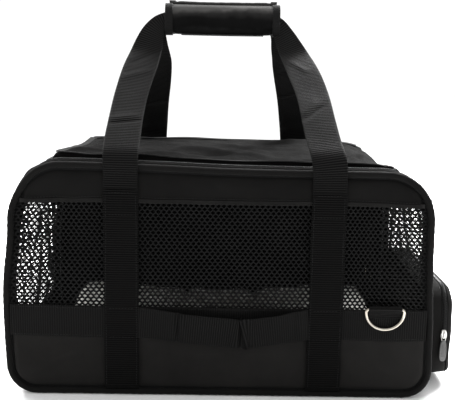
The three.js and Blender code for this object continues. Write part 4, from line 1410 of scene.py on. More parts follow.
def handle(name, line, side, folds):
    L = catmull(line)
    d = np.concatenate([[0], np.cumsum(np.hypot(np.diff(L[:, 0]), np.diff(L[:, 1])))])
    n = int(d[-1] / STEP) + 1
    t = np.linspace(0, d[-1], n)
    cx, cs, hw = (np.interp(t, d, L[:, k]) for k in range(3))
    dx, ds = np.gradient(cx), np.gradient(cs)
    l = np.hypot(dx, ds)
    dx, ds = dx / l, ds / l
    # smooth the turning so that ribs stay even
    ker = np.ones(25) / 25
    ang = np.unwrap(np.arctan2(ds, dx))
    ang = np.convolve(np.pad(ang, 12, mode="edge"), ker, mode="valid")
    dx, ds = np.cos(ang), np.sin(ang)
    f = np.concatenate([[-1, -0.975, -0.93], np.linspace(-0.86, 0.86, 13), [0.93, 0.975, 1]])
    th = np.concatenate([[0.18, 0.62, 0.9], np.ones(13), [0.9, 0.62, 0.18]])
    inner = np.concatenate([[0, 0.5, 0.8], np.ones(13), [0.8, 0.5, 0]])
    x = cx[:, None] + ds[:, None] * f[None, :] * hw[:, None]
    s = cs[:, None] - dx[:, None] * f[None, :] * hw[:, None]
    s = np.maximum(s, 0)
    y, z, a = on_curve(s.ravel())
    y, z, a = (q.reshape(s.shape) for q in (y, z, a))
    rib = 0.22 * np.cos(2 * np.pi * (t[:, None] + 222.5) / 2.5) * inner[None, :]
    rib = rib * (0.55 + 0.45 * sstep(212, 190, s))
    # folds and cupping, away from the sewn ends
    free = sstep(6, 60, s)
    lift = free * (0.5 * waves(np.stack([x, s], -1), 75, 101 + side) + 0.7 * (1 - f[None, :] ** 2) * sstep(120, 200, s))
    for a0, b0, w0, h0 in folds:
        lift = lift + crease(x, s, a0, b0, w0, h0)
    grip = np.exp(-((s - 250) / 16.0) ** 2)                     # pinched flat inside the grip
    lift = lift * (1 - grip)
    T = 1.45
    out = []
    for sign in (1, -1):
        h = sign * (T / 2 * th[None, :]) + sign * rib + lift
        yy = (y - np.cos(a) * h)
        zz = z + np.sin(a) * h
        P = np.stack([x, yy * -side, zz], -1)
        # the sewn end keeps to the bag's own soft shape
        fld = field(np.stack([x, np.full(x.shape, side * 146.6), np.full(x.shape, 236.0)], -1))
        P = P + fld * (1 - sstep(0, 70, s))[..., None] + np.array([0, 0, RISE]) * sstep(0, 70, s)[..., None]
        out.append(P)
    Pt, Pb = out
    P = np.concatenate([Pt, Pb[:, ::-1, :]], axis=1)
    k = P.shape[1]
    ff = np.concatenate([f, f[::-1]])
    uv = np.stack([hw[:, None] * ff[None, :], np.broadcast_to((t + 222.5)[:, None], (n, k))], -1).reshape(-1, 2)
    F = grid_faces(k, n, closed_u=True)
    m = len(f)
    for r in (0, n - 1):
        b = r * k
        for i in range(m - 1):
            F.append((b + i, b + i + 1, b + k - 2 - i, b + k - 1 - i))
    return recalc(mesh_obj(name, P.reshape(-1, 3), F, uv=uv, mats=[WEB_FREE_PAINTED_LIGHT]))


front_folds = [((-128, 84), (-92, 90), 2.6, -1.3), ((-128, 92), (-96, 98), 4.0, 0.9), ((-122, 160), (-84, 176), 4.5, 0.9),
               ((86, 92), (110, 118), 2.6, -1.5), ((82, 100), (106, 128), 4.0, 1.1), ((76, 196), (98, 176), 4.0, 0.9), ((-112, 186), (-80, 212), 4.0, -0.9)]
rear_folds = [((-112, 100), (-72, 112), 3.0, -1.2), ((70, 120), (104, 134), 3.0, -1.2), ((64, 170), (96, 186), 4.0, 1.0)]
h_front = handle("v_front_handle_strap", FRONT_LINE, -1, front_folds)
place(h_front, "front_handle", "webbing", "front_handle_strap")
h_rear = handle("v_rear_handle_strap", REAR_LINE, 1, rear_folds)
place(h_rear, "rear_handle", "webbing", "rear_handle_strap")


# =====================================================================
# the padded wrap round both grips
# =====================================================================
GX0, GX1 = -72.5, 64.5


def grip_half(name, side, lift=0.0, x0=GX0, x1=GX1, voxel=2.2):
    """Half a padded sleeve: a thick C section from the top middle to the bottom middle."""
    ny = 26
    a = np.linspace(0, np.pi, ny)
    def ring(hy, hz, n=2.5):
        y = np.sign(np.sin(a)) * np.abs(np.sin(a)) ** (2 / n) * hy
        z = np.sign(np.cos(a)) * np.abs(np.cos(a)) ** (2 / n) * hz
        return y, z
    xs = lines(x0, x1, 2.6)
    P = []
    for i, x in enumerate(xs):
        e = min(x - x0, x1 - x)
        r = 1 - 0.05 * math.exp(-(e / 2.2))
        yo, zo = ring(13.6 * r, 19.2 * r)
        yi, zi = ring(9.6, 15.4)
        gap = 0.35
        o = np.stack([np.full(ny, x), side * (yo + gap), 420 + lift + zo], 1)
        q = np.stack([np.full(ny, x), side * (yi + gap), 420 + lift + zi], 1)
        P.append(np.vstack([o, q[::-1]]))
    n, k = len(xs), 2 * ny
    F = grid_faces(k, n, closed_u=True)
    for r in (0, n - 1):
        b = r * k
        for i in range(ny - 1):
            F.append((b + i, b + i + 1, b + k - 2 - i, b + k - 1 - i))
    return recalc(mesh_obj(name, np.vstack(P), F, mats=[GRIP_PAINTED_SHEEN]))


def grip_shape(P, side, x0, x1, seed):
    """Bound ends, a little slack in the middle, and shallow wrinkles that run along the barrel."""
    x = P[:, 0]
    e = np.minimum(x - x0, x1 - x)
    c = np.stack([np.zeros(len(P)), P[:, 1], P[:, 2] - 420], 1)
    r = np.linalg.norm(c, axis=1)[:, None]
    ang = np.arctan2(P[:, 1], P[:, 2] - 420)
    w = 0.30 * waves(np.stack([x * 0.4, ang * 14], 1), 26, seed) + 0.16 * waves(np.stack([x, ang * 14], 1), 14, seed + 1)
    k = -0.9 * np.exp(-((e - 9.4) / 1.5) ** 2) + w * sstep(4, 14, e)
    out = P + c / np.maximum(r, 1e-6) * k[:, None]
    if side < 0:
        zc = out[:, 2] - 420
        out[:, 2] = 420 + np.where(zc > 0, zc * 0.84, zc)
    out[:, 2] += RISE - 0.5 * np.cos(np.clip((x + 4) / 137, -0.5, 0.5) * np.pi)      # sags a touch
    gap = 0.3
    out[:, 1] = np.where(side < 0, np.minimum(out[:, 1], -gap), np.maximum(out[:, 1], gap))
    return out


g_front = puffed(grip_half("v_grip_pad", -1), 2.0, 3.0, 0.9, frames=12)
edit(g_front, lambda P: grip_shape(P, -1, GX0, GX1, 111))
subsurf(g_front)
place(g_front, "front_handle", "grip_pad", "grip_pad")
g_rear = puffed(grip_half("v_grip_wrap_flap", 1, lift=1.6, x0=GX0 + 4, x1=GX1 - 3), 2.0, 3.0, 0.9, frames=12)
edit(g_rear, lambda P: grip_shape(P, 1, GX0 + 4, GX1 - 3, 115))
subsurf(g_rear)
place(g_rear, "grip_flap", "grip_pad", "grip_wrap_flap")


def grip_binding(name, side, xa, xb, lift=0.0, hy=14.2, hz=19.9):
    """Ribbed tape sewn round an end of the sleeve."""
    a = np.linspace(0.02 * np.pi, 0.98 * np.pi, 120)
    n = 2.5
    y = side * (np.abs(np.sin(a)) ** (2 / n) * hy + 0.35)
    z = np.sign(np.cos(a)) * np.abs(np.cos(a)) ** (2 / n) * hz
    z = 420 + RISE + lift + np.where((z > 0) & (side < 0), z * 0.85, z)
    C = np.stack([np.full(len(a), (xa + xb) / 2), y, z], 1)
    C, t = resample(C, 0.45)
    T = np.gradient(C, axis=0)
    T /= np.linalg.norm(T, axis=1)[:, None]
    A = np.tile([1.0, 0, 0], (len(C), 1))
    N = np.cross(T, A)
    c = C - np.array([0, 0, 420.0]) * np.array([0, 0, 1])
    c[:, 0] = 0
    N *= np.sign((N * c).sum(1))[:, None]
    return recalc(ribbon(name, C, A, N, (xb - xa) / 2, TAPE, T=1.0, rib=1.8, amp=0.12, s=t, cols=6))


grips = [g_front, g_rear]
for k, (xa, xb) in enumerate(((GX0 - 0.6, GX0 + 8.6), (GX1 - 8.6, GX1 + 0.6))):
    grips.append(place(grip_binding(f"v_grip_binding_{k + 1}", -1, xa, xb), "front_handle", "webbing"))
for k, (xa, xb) in enumerate(((GX0 + 3.6, GX0 + 11.4), (GX1 - 10.4, GX1 - 2.6))):
    grips.append(place(grip_binding(f"v_grip_flap_binding_{k + 1}", 1, xa, xb, lift=1.2, hz=19.5), "grip_flap", "webbing"))



def hook_strip():
    """Hook tape sewn under the pad, on which the flap closes; it follows the barrel's underside."""
    x = lines(-53.5, 45.5, 1.0)
    z = 420 + RISE - 19.25 - 0.5 * np.cos(np.clip((x + 4) / 137, -0.5, 0.5) * np.pi)
    C = np.stack([x, np.full(len(x), -5.2), z], 1)
    n = len(x)
    def warp(s_, f):
        return -0.75 * np.abs((f - 1) / 2) ** 2.2 + 0 * s_
    return recalc(ribbon("v_grip_hook_tape", C, np.tile([0, 1.0, 0], (n, 1)), np.tile([0, 0, -1.0], (n, 1)), 4.4, HOOK, T=1.3, amp=0.0, cols=9, s=x, warp=warp))


grips.append(place(hook_strip(), "front_handle", "hook_tape", "grip_hook_tape"))


def grip_tongue():
    """The lining carried over the top of the pad, under the flap: it closes the seam that the flap turns on."""
    x = lines(GX0 + 5, GX1 - 4, 1.5)
    z = 438.5 - 0.5 * np.cos(np.clip((x + 4) / 137, -0.5, 0.5) * np.pi)
    C = np.stack([x, np.full(len(x), 0.2), z], 1)
    def warp(s_, f):
        return -1.6 * np.abs(f) ** 2.4 + 0 * s_
    n = len(x)
    return recalc(ribbon("v_grip_seam_lining", C, np.tile([0, 1.0, 0], (n, 1)), np.tile([0, 0, 1.0], (n, 1)), 5.6, GRIP_PAINTED_SHEEN, T=0.9, amp=0.0, cols=9, s=x, warp=warp))


grips.append(place(grip_tongue(), "front_handle", "fabric"))


# =====================================================================
# rings and their tabs
# =====================================================================
def d_ring(name, side, body, node):
    cx = 184.0 if side < 0 else -184.0
    cz, w, h, r = 103.0, 46.0, 27.0, 2.0
    y0 = side * 148.4
    hw, top, bot = w / 2 - r, cz, cz + 2 - h + r
    rc = 3.2
    pts = []
    for t in np.linspace(0, 1, 30, endpoint=False):              # straight bar
        pts.append((cx - hw + rc + (2 * hw - 2 * rc) * t, top))
    for t in np.linspace(0, 1, 10, endpoint=False):
        a = math.pi / 2 - t * math.pi / 2
        pts.append((cx + hw - rc + rc * math.cos(a), top - rc + rc * math.sin(a)))
    zb = top - rc
    for t in np.linspace(0, 1, 64, endpoint=False):
        a = -t * math.pi
        pts.append((cx + hw * math.cos(a), zb + (zb - bot) * math.sin(a)))
    for t in np.linspace(0, 1, 10, endpoint=False):
        a = math.pi - t * math.pi / 2
        pts.append((cx - hw + rc + rc * math.cos(a), top - rc + rc * math.sin(a)))
    C = np.array([(x, y0, z) for x, z in pts])
    C = C + at((cx, y0, cz)) + np.array([-side * 0.0, 0, 2.4])
    def prof(a, i):                                             # a small brazed lap on the bar
        k = np.exp(-((i.ravel() - 14.0) / 1.2) ** 2)[:, None]
        return 1.0 + 0.05 * k * np.ones_like(a) - 0.02 * np.exp(-((i.ravel() - 12.0) / 0.5) ** 2)[:, None]
    o = recalc(tube(name, C, NICKEL, 1.8, ring=20, closed=True, ref=(0, 1, 0), prof=prof))
    return place(o, body, "ring_steel", node)


d_ring("v_d_ring_front", -1, "front_ring", "d_ring_front")
d_ring("v_d_ring_rear", 1, "rear_ring", "d_ring_rear")


def ring_tab(name, side, node):
    """Webbing folded over the bar of the ring; both tails go in under the band's top edge."""
    cx = 184.0 if side < 0 else -184.0
    yc, zc = side * 148.4, 103.0
    inn = -side
    a = np.linspace(-0.42 * np.pi, 1.25 * np.pi, 80)
    r = 3.15
    loop = np.stack([yc + inn * r * np.cos(a), zc + r * np.sin(a)], 1)
    tail0 = np.array([(side * 145.3, 92.5), (side * 145.25, 96.0), (side * 145.3, 99.0)])
    tail1 = np.array([(side * 146.5, 99.2), (side * 146.35, 96.0), (side * 146.3, 92.5)])
    # outer layer goes over the bar from the band behind it and comes back underneath
    path = np.vstack([tail0, [(side * 145.35, 101.0)], loop[14:66], tail1[1:]])
    C = np.stack([np.full(len(path), cx), path[:, 0], path[:, 1]], 1)
    C = catmull(C, 6)
    C, t = resample(C, 0.5)
    C = C + at((cx, yc, zc)) + np.array([0, 0, 2.4])
    T = np.gradient(C, axis=0)
    T /= np.linalg.norm(T, axis=1)[:, None]
    A = np.tile([1.0, 0, 0], (len(C), 1))
    N = np.cross(T, A)
    mid = np.array([cx, yc, zc + 2.4]) + at((cx, yc, zc))
    N *= np.sign((N * (C - mid)).sum(1).mean())
    o = recalc(ribbon(name, C, A, N, 18.4, WEBB, T=1.25, rib=2.5, amp=0.12, s=t, cols=8))
    return place(o, "shell", "webbing", node)


ring_tab("v_d_ring_front_tab", -1, "d_ring_front_tab")
ring_tab("v_d_ring_rear_tab", 1, "d_ring_rear_tab")


# =====================================================================
# end pocket: gusset and lid
# =====================================================================
def pocket_depth(z):
    """How full the pocket is at height z: fullest above its middle, thin at the foot."""
    return 0.55 + 0.45 * sstep(16, 62, z) - 0.12 * sstep(88, 117, z)


pc = rr_curve(-POCK_Y, POCK_Y, POCK_Z0, POCK_Z1, POCK_R, step=3.2, square_bottom=False)
_pc_s = np.concatenate([[0], np.cumsum(np.hypot(*np.diff(pc, axis=0).T))])


def gusset():
    X = np.concatenate([[236.4, 238.2], lines(239.6, 255.8, 1.5)])
    n = len(pc)
    P, UV = [], []
    mid = pc.mean(0)
    for x in X:
        t = np.clip((x - 239.4) / 16.4, 0, 1)
        k = 1.1 * np.sin(t * np.pi) ** 0.8 + 1.2 * (x < 239) + 0.5 * waves(np.stack([_pc_s, np.full(n, x)], 1), 34, 121) * np.sin(t * np.pi)
        q = offset_curve(pc, 0) + 0
        d = offset_curve(pc, 1) - pc
        q = pc + d * (k[:, None] if np.ndim(k) else k)
        P.append(soft(np.stack([np.full(n, x), q[:, 0], q[:, 1]], 1)))
        UV.append(np.stack([_pc_s, np.full(n, x)], 1))
    o = mesh_obj("v_pocket_gusset", np.vstack(P), grid_faces(n, len(X), closed_u=True), uv=np.vstack(UV), mats=[FAB, LINING])
    orient(o, (250, 0, 65))
    return solidify(o, 1.8, inner=1)


place(gusset(), "shell", "fabric", "pocket_gusset")


def lid_height(e, z):
    """How far the lid stands out from the split plane, e mm inside its outline."""
    rim = 3.2 * (1 - np.exp(-np.maximum(e, 0) / 1.2))
    body = 13.6 * pocket_depth(z) * (1 - np.exp(-np.maximum(e - 1.0, 0) / 8.0))
    return rim + body


def pocket_lid():
    v = (1 - np.cos(np.linspace(0, np.pi, 84))) / 2
    u = np.sin(np.linspace(-np.pi / 2, np.pi / 2, 110))
    zs = POCK_Z0 + (POCK_Z1 - POCK_Z0) * v
    uu, zz = np.meshgrid(u, zs)
    uu, zz = uu.ravel(), zz.ravel()
    cy = POCK_Y - POCK_R
    r = POCK_R
    lo, hi = zz < POCK_Z0 + r, zz > POCK_Z1 - r
    wy = np.full(len(zz), POCK_Y)
    wy = np.where(lo, cy + np.sqrt(np.maximum(r * r - (POCK_Z0 + r - zz) ** 2, 0)), wy)
    wy = np.where(hi, cy + np.sqrt(np.maximum(r * r - (zz - POCK_Z1 + r) ** 2, 0)), wy)
    y = uu * wy
    e = rr_sdf(y, zz, -POCK_Y, POCK_Y, POCK_Z0, POCK_Z1, POCK_R)
    q = np.stack([y, zz], 1)
    inner = sstep(2, 16, e)
    w = (0.7 * waves(q, 52, 131) + 0.3 * waves(q, 24, 132)) * inner
    w += (crease(y, zz, (-92, 100), (-40, 66), 6, 1.4) + crease(y, zz, (90, 102), (46, 62), 6, 1.4) + crease(y, zz, (-70, 24), (-10, 44), 7, 1.0) + crease(y, zz, (80, 26), (20, 48), 7, 1.0)) * inner
    x = SPLIT + 1.3 + lid_height(e, zz) + w
    bulge = 0.9 * np.exp(-((e - 3.2) / 2.4) ** 2)
    n = np.stack([y / POCK_Y, (zz - 65) / 52], 1)
    P = np.stack([x, y + np.sign(y) * bulge * (np.abs(n[:, 0]) > 0.72) * 0.9, zz + np.sign(zz - 65) * bulge * (np.abs(n[:, 1]) > 0.72) * 0.9], 1)
    o = mesh_obj("v_pocket_lid", soft(P), grid_faces(len(u), len(zs)), uv=np.stack([y, zz], 1), mats=[FAB, LINING])
    orient(o, (200, 0, 65))
    return solidify(o, 1.8, inner=1)


lid = pocket_lid()
place(lid, "pocket_front", "fabric", "pocket_lid")


def pocket_back():
    """The pocket's own back lining, which lies against the end of the bag inside the gusset."""
    v = (1 - np.cos(np.linspace(0, np.pi, 60))) / 2
    u = np.sin(np.linspace(-np.pi / 2, np.pi / 2, 90))
    b, t, h, r = POCK_Z0 + 2.3, POCK_Z1 - 2.3, POCK_Y - 2.3, POCK_R - 2.3
    uu, zz = np.meshgrid(u, b + (t - b) * v)
    uu, zz = uu.ravel(), zz.ravel()
    d = np.maximum(np.maximum(b + r - zz, zz - t + r), 0)
    y = uu * (h - r + np.sqrt(np.maximum(r * r - d * d, 0)))
    x = 242.2 + 0.5 * waves(np.stack([y, zz], 1), 40, 133)
    o = mesh_obj("v_pocket_back_lining", soft(np.stack([x, y, zz], 1)), grid_faces(len(u), len(v)), uv=np.stack([y, zz], 1), mats=[LINING])
    orient(o, (200, 0, 65))
    return solidify(o, 0.8)


place(pocket_back(), "shell", "fabric")


# =====================================================================
# top flap
# =====================================================================
def flap_z(x, y):
    e = np.minimum(np.minimum(x - (FLAP_X0 + 0.8), FLAP_X1 - 0.8 - x), FLAP_Y - 0.8 - np.abs(y))
    u, v = (x - 4.5) / 198, y / 126
    crown = 4.4 * (1 - np.abs(u) ** 2.6) * (1 - np.abs(v) ** 3.0) * 0.8
    lip = 2.6 * (1 - np.exp(-np.maximum(e, 0) / 0.8)) + 1.8 * np.exp(-((e - 4.2) / 3.0) ** 2)
    q = np.stack([x, y * 1.25], 1)
    w = (1.0 * waves(q, 120, 141) + 0.5 * waves(q, 52, 142) + 0.22 * waves(q, 24, 143)) * sstep(2, 30, e)
    f = (crease(x, y, (-188, -110), (-96, -52), 7, 2.2) + crease(x, y, (-120, -112), (-20, -74), 9, 1.8) + crease(x, y, (-60, -30), (60, -84), 8, 1.9)
         + crease(x, y, (-20, 40), (110, -20), 10, 1.7) + crease(x, y, (120, -100), (194, -40), 8, 2.0) + crease(x, y, (60, 84), (180, 100), 8, 1.6)
         + crease(x, y, (-180, 90), (-90, 30), 8, 1.9) + crease(x, y, (-150, 112), (-30, 84), 9, 1.4) - crease(x, y, (-90, -90), (40, -58), 8, 1.4)
         - crease(x, y, (20, 10), (150, 44), 9, 1.5) + crease(x, y, (40, -110), (130, -104), 5, 1.2))
    sway = 1.5 * waves(np.stack([x, y * 0.4], 1), 118, 147) * np.exp(-np.maximum(e, 0) / 26)
    sway = sway + 2.2 * np.exp(-((x + 176) / 22) ** 2 - ((y + 112) / 26) ** 2)
    return crown + lip + sway * sstep(0, 3, e) + 2.0 * (w + f * 1.0) * sstep(4, 20, e) - 0.8 * np.exp(-np.maximum(e, 0) / 1.2)


def top_flap():
    X = lines(FLAP_X0 + 0.8, FLAP_X1 - 1.0, 3.3)
    Y = lines(-FLAP_Y + 0.8, FLAP_Y - 0.8, 3.3)
    # denser at the edges, where the fabric turns down
    X = np.unique(np.concatenate([X, FLAP_X0 + 0.8 + np.array([0.6, 1.3, 2.2]), FLAP_X1 - 1.0 - np.array([0.6, 1.3, 2.2])]))
    Y = np.unique(np.concatenate([Y, -FLAP_Y + 0.8 + np.array([0.6, 1.3, 2.2]), FLAP_Y - 0.8 - np.array([0.6, 1.3, 2.2])]))
    def fn(x, y):
        s = np.where(x > HL - RT, 1, 0)
        drop = np.where(np.abs(x) > HL - RT, RT - np.sqrt(np.maximum(RT * RT - (np.abs(x) - (HL - RT)) ** 2, 0)), 0)
        return soft(np.stack([x, y, H + 0.3 - drop + flap_z(x, y)], 1))
    o = sheet_grid("v_top_flap_panel", X, Y, fn, [FAB_TOP_PAINTED_SHADE, LINING])
    orient(o, (0, 0, -400))
    return solidify(o, 2.0, inner=1)


flap = top_flap()
place(flap, "top_flap", "fabric", "top_flap_panel")


# =====================================================================
# zips: tapes, coils, sliders and pulls
# =====================================================================
def ustr(y, xin):
    """The U line of the top zip: from the hinge end along the front, across, and back along the rear."""
    a = [(195.0, -y), (xin + 6, -y)]
    pts = [(195 - i * 3.0, -y) for i in range(int((195 - xin - 8) / 3.0))]
    for i in range(13):
        t = math.pi / 2 * i / 12
        pts.append((xin + 8 - 8 * math.sin(t), -y + 8 - 8 * math.cos(t)))
    pts += [(xin, -y + 8 + i * 3.0) for i in range(1, int((2 * y - 16) / 3.0))]
    for i in range(13):
        t = math.pi / 2 * i / 12
        pts.append((xin + 8 - 8 * math.cos(t), y - 8 + 8 * math.sin(t)))
    pts += [(xin + 8 + i * 3.0, y) for i in range(1, int((195 - xin - 8) / 3.0))]
    return np.array(pts)


def top_z(x):
    return H - np.where(np.abs(x) > HL - RT, RT - np.sqrt(np.maximum(RT * RT - (np.abs(x) - (HL - RT)) ** 2, 0)), 0)


def coil_rows(P, N, pitch, width, rise, wire):
    """Two interlocked rows of zip coil: little bars across the line, taken alternately from either side."""
    Q, t = resample(np.hstack([P, N]), pitch)
    C, U = Q[:, :3], Q[:, 3:]
    U = U / np.linalg.norm(U, axis=1)[:, None]
    T = np.gradient(C, axis=0)
    T /= np.linalg.norm(T, axis=1)[:, None]
    S = np.cross(T, U)
    k = np.where(np.arange(len(C)) % 2 == 0, 1.0, -1.0)[:, None]
    tilt = T * 0.16 * k
    return lozenges(C + S * k * width * 0.14 + U * rise, S + tilt, U, width * 0.82, wire, wire * 1.1)


L = ustr(128.6, -196.2)
Pz = np.stack([L[:, 0], L[:, 1], top_z(L[:, 0]) + 0.6], 1)
Nz = np.tile([0, 0, 1.0], (len(Pz), 1))
v, f = coil_rows(soft(Pz), Nz, 0.95, 5.4, 0.75, 0.95)
top_coil = mesh_obj("v_top_zip_coil", v, f, uv=v[:, :2], mats=[COIL])
place(top_coil, "shell", "zip_coil", "top_zip_coil")


def tape_along(name, P, U, half, mat, T=0.7, body="shell", slot="webbing", node=None, rib=1.0, amp=0.05, step=0.5):
    Q, t = resample(np.hstack([P, U]), step)
    C, N = Q[:, :3], Q[:, 3:]
    N = N / np.linalg.norm(N, axis=1)[:, None]
    D = np.gradient(C, axis=0)
    D /= np.linalg.norm(D, axis=1)[:, None]
    A = np.cross(D, N)
    A /= np.linalg.norm(A, axis=1)[:, None]
    o = recalc(ribbon(name, C, A, N, half, mat, T=T, rib=rib, amp=amp, s=t, cols=5))
    place(o, body, slot, *([node] if node else []))
    return o


tape_along("v_top_zip_tape", soft(Pz + np.array([0, 0, -0.35])), Nz, 4.4, TAPE, T=0.6, step=0.8, amp=0.0)

# the flap's own half of the tape, stitched down round three sides
L2 = ustr(120.4, -187.5)
P2 = np.stack([L2[:, 0], L2[:, 1], top_z(L2[:, 0]) + 0.3 + flap_z(L2[:, 0], L2[:, 1])], 1)
P2s = soft(P2)


def flap_normals(L_):
    h = 1.0
    a = flap_z(L_[:, 0] + h, L_[:, 1]) - flap_z(L_[:, 0] - h, L_[:, 1])
    b = flap_z(L_[:, 0], L_[:, 1] + h) - flap_z(L_[:, 0], L_[:, 1] - h)
    n = np.stack([-a / (2 * h), -b / (2 * h), np.ones(len(L_))], 1)
    return n / np.linalg.norm(n, axis=1)[:, None]


tape_along("v_top_flap_zip_tape", P2s + flap_normals(L2) * 0.35, flap_normals(L2), 3.6, TAPE, T=0.7, body="top_flap", node="top_flap_zip_tape", step=0.8, amp=0.0)


def rounded_plate(pts, z0, z1, bevel=0.35, n=3):
    """A closed plate from an outline (u, v), with rounded edges: rings from the underside over the edge to the top."""
    pts = np.asarray(pts, float)
    t = np.roll(pts, -1, 0) - np.roll(pts, 1, 0)
    t /= np.maximum(np.hypot(t[:, 0], t[:, 1]), 1e-9)[:, None]
    area = 0.5 * (pts[:, 0] * np.roll(pts[:, 1], -1) - np.roll(pts[:, 0], -1) * pts[:, 1]).sum()
    nrm = np.stack([t[:, 1], -t[:, 0]], 1) * (1 if area > 0 else -1)
    rings = []
    for i in range(n + 1):
        a = -math.pi / 2 + math.pi / 2 * i / n
        rings.append((bevel * (math.cos(a) - 1), z0 + bevel * (1 + math.sin(a))))
    for i in range(n + 1):
        a = math.pi / 2 * i / n
        rings.append((bevel * (math.cos(a) - 1), z1 - bevel * (1 - math.sin(a))))
    V = np.vstack([np.column_stack([pts + nrm * d, np.full(len(pts), z)]) for d, z in rings])
    k = len(pts)
    F = grid_faces(k, len(rings), closed_u=True)
    F.append(tuple(range(k))[::-1])
    F.append(tuple(range((len(rings) - 1) * k, len(rings) * k)))
    return V, F


def outline_of(fn, n=40):
    return np.array([fn(i / n) for i in range(n)])


def superellipse(cx, cy, a, b, n=2.6, k=40):
    t = np.linspace(0, 2 * np.pi, k, endpoint=False)
    return np.stack([cx + a * np.sign(np.cos(t)) * np.abs(np.cos(t)) ** (2 / n), cy + b * np.sign(np.sin(t)) * np.abs(np.sin(t)) ** (2 / n)], 1)


def to_frame(V, o, eu, ev, ew):
    V = np.asarray(V, float)
    return np.asarray(o) + V[:, :1] * np.asarray(eu) + V[:, 1:2] * np.asarray(ev) + V[:, 2:] * np.asarray(ew)


def slider_body(name, o, eu, ev, ew, body, node, length=10.0, width=6.6, h=2.6):
    """A zip slider: two shaped plates joined at the nose, side flanges and the bridge that holds the pull. eu across, ev along the zip, ew up."""
    k = length / 10.0
    shape = []
    for t in np.linspace(0, 2 * np.pi, 48, endpoint=False):
        vv = np.sin(t) * length / 2
        ww = width / 2 * (0.78 + 0.22 * np.sin(t)) * np.sign(np.cos(t)) * np.abs(np.cos(t)) ** 0.55
        shape.append((ww, vv))
    V0, F0 = rounded_plate(shape, 0.0, 0.9, 0.3)
    V1, F1 = rounded_plate(np.array(shape) * np.array([0.96, 0.98]), h - 0.95, h, 0.35)
    V2, F2 = rounded_plate(superellipse(0, length * 0.36, width * 0.17, length * 0.12), 0.4, h - 0.4, 0.1, 1)
    parts = [(to_frame(V0, o, eu, ev, ew), F0), (to_frame(V1, o, eu, ev, ew), F1), (to_frame(V2, o, eu, ev, ew), F2)]
    for s in (-1, 1):
        V3, F3 = rounded_plate(superellipse(s * width * 0.43, -length * 0.12, 0.45, length * 0.30), 0.5, h - 0.5, 0.15, 1)
        parts.append((to_frame(V3, o, eu, ev, ew), F3))
    # bridge: a strap that rises from the nose and comes down at the tail
    a = np.linspace(0, np.pi, 19)
    cv = np.cos(a) * length * 0.36
    cw = h - 0.35 + np.sin(a) ** 0.8 * 1.75
    C = np.stack([np.zeros(19), cv, cw], 1)
    tb = []
    T = np.gradient(C, axis=0)
    T /= np.linalg.norm(T, axis=1)[:, None]
    B = np.tile([1.0, 0, 0], (19, 1))
    N = np.cross(T, B)
    ring = []
    for c_, n_, b_ in zip(C, N, B):
        for q in superellipse(0, 0, 0.85, 0.45, 3.0, 10):
            ring.append(c_ + b_ * q[0] + n_ * q[1])
    Fb = grid_faces(10, 19, closed_u=True) + [tuple(range(10))[::-1], tuple(range(180, 190))]
    parts.append((to_frame(np.array(ring), o, eu, ev, ew), Fb))
    ob = recalc(joined(name, parts, [ZAMAK]))
    return place(ob, body, "ring_steel", node)


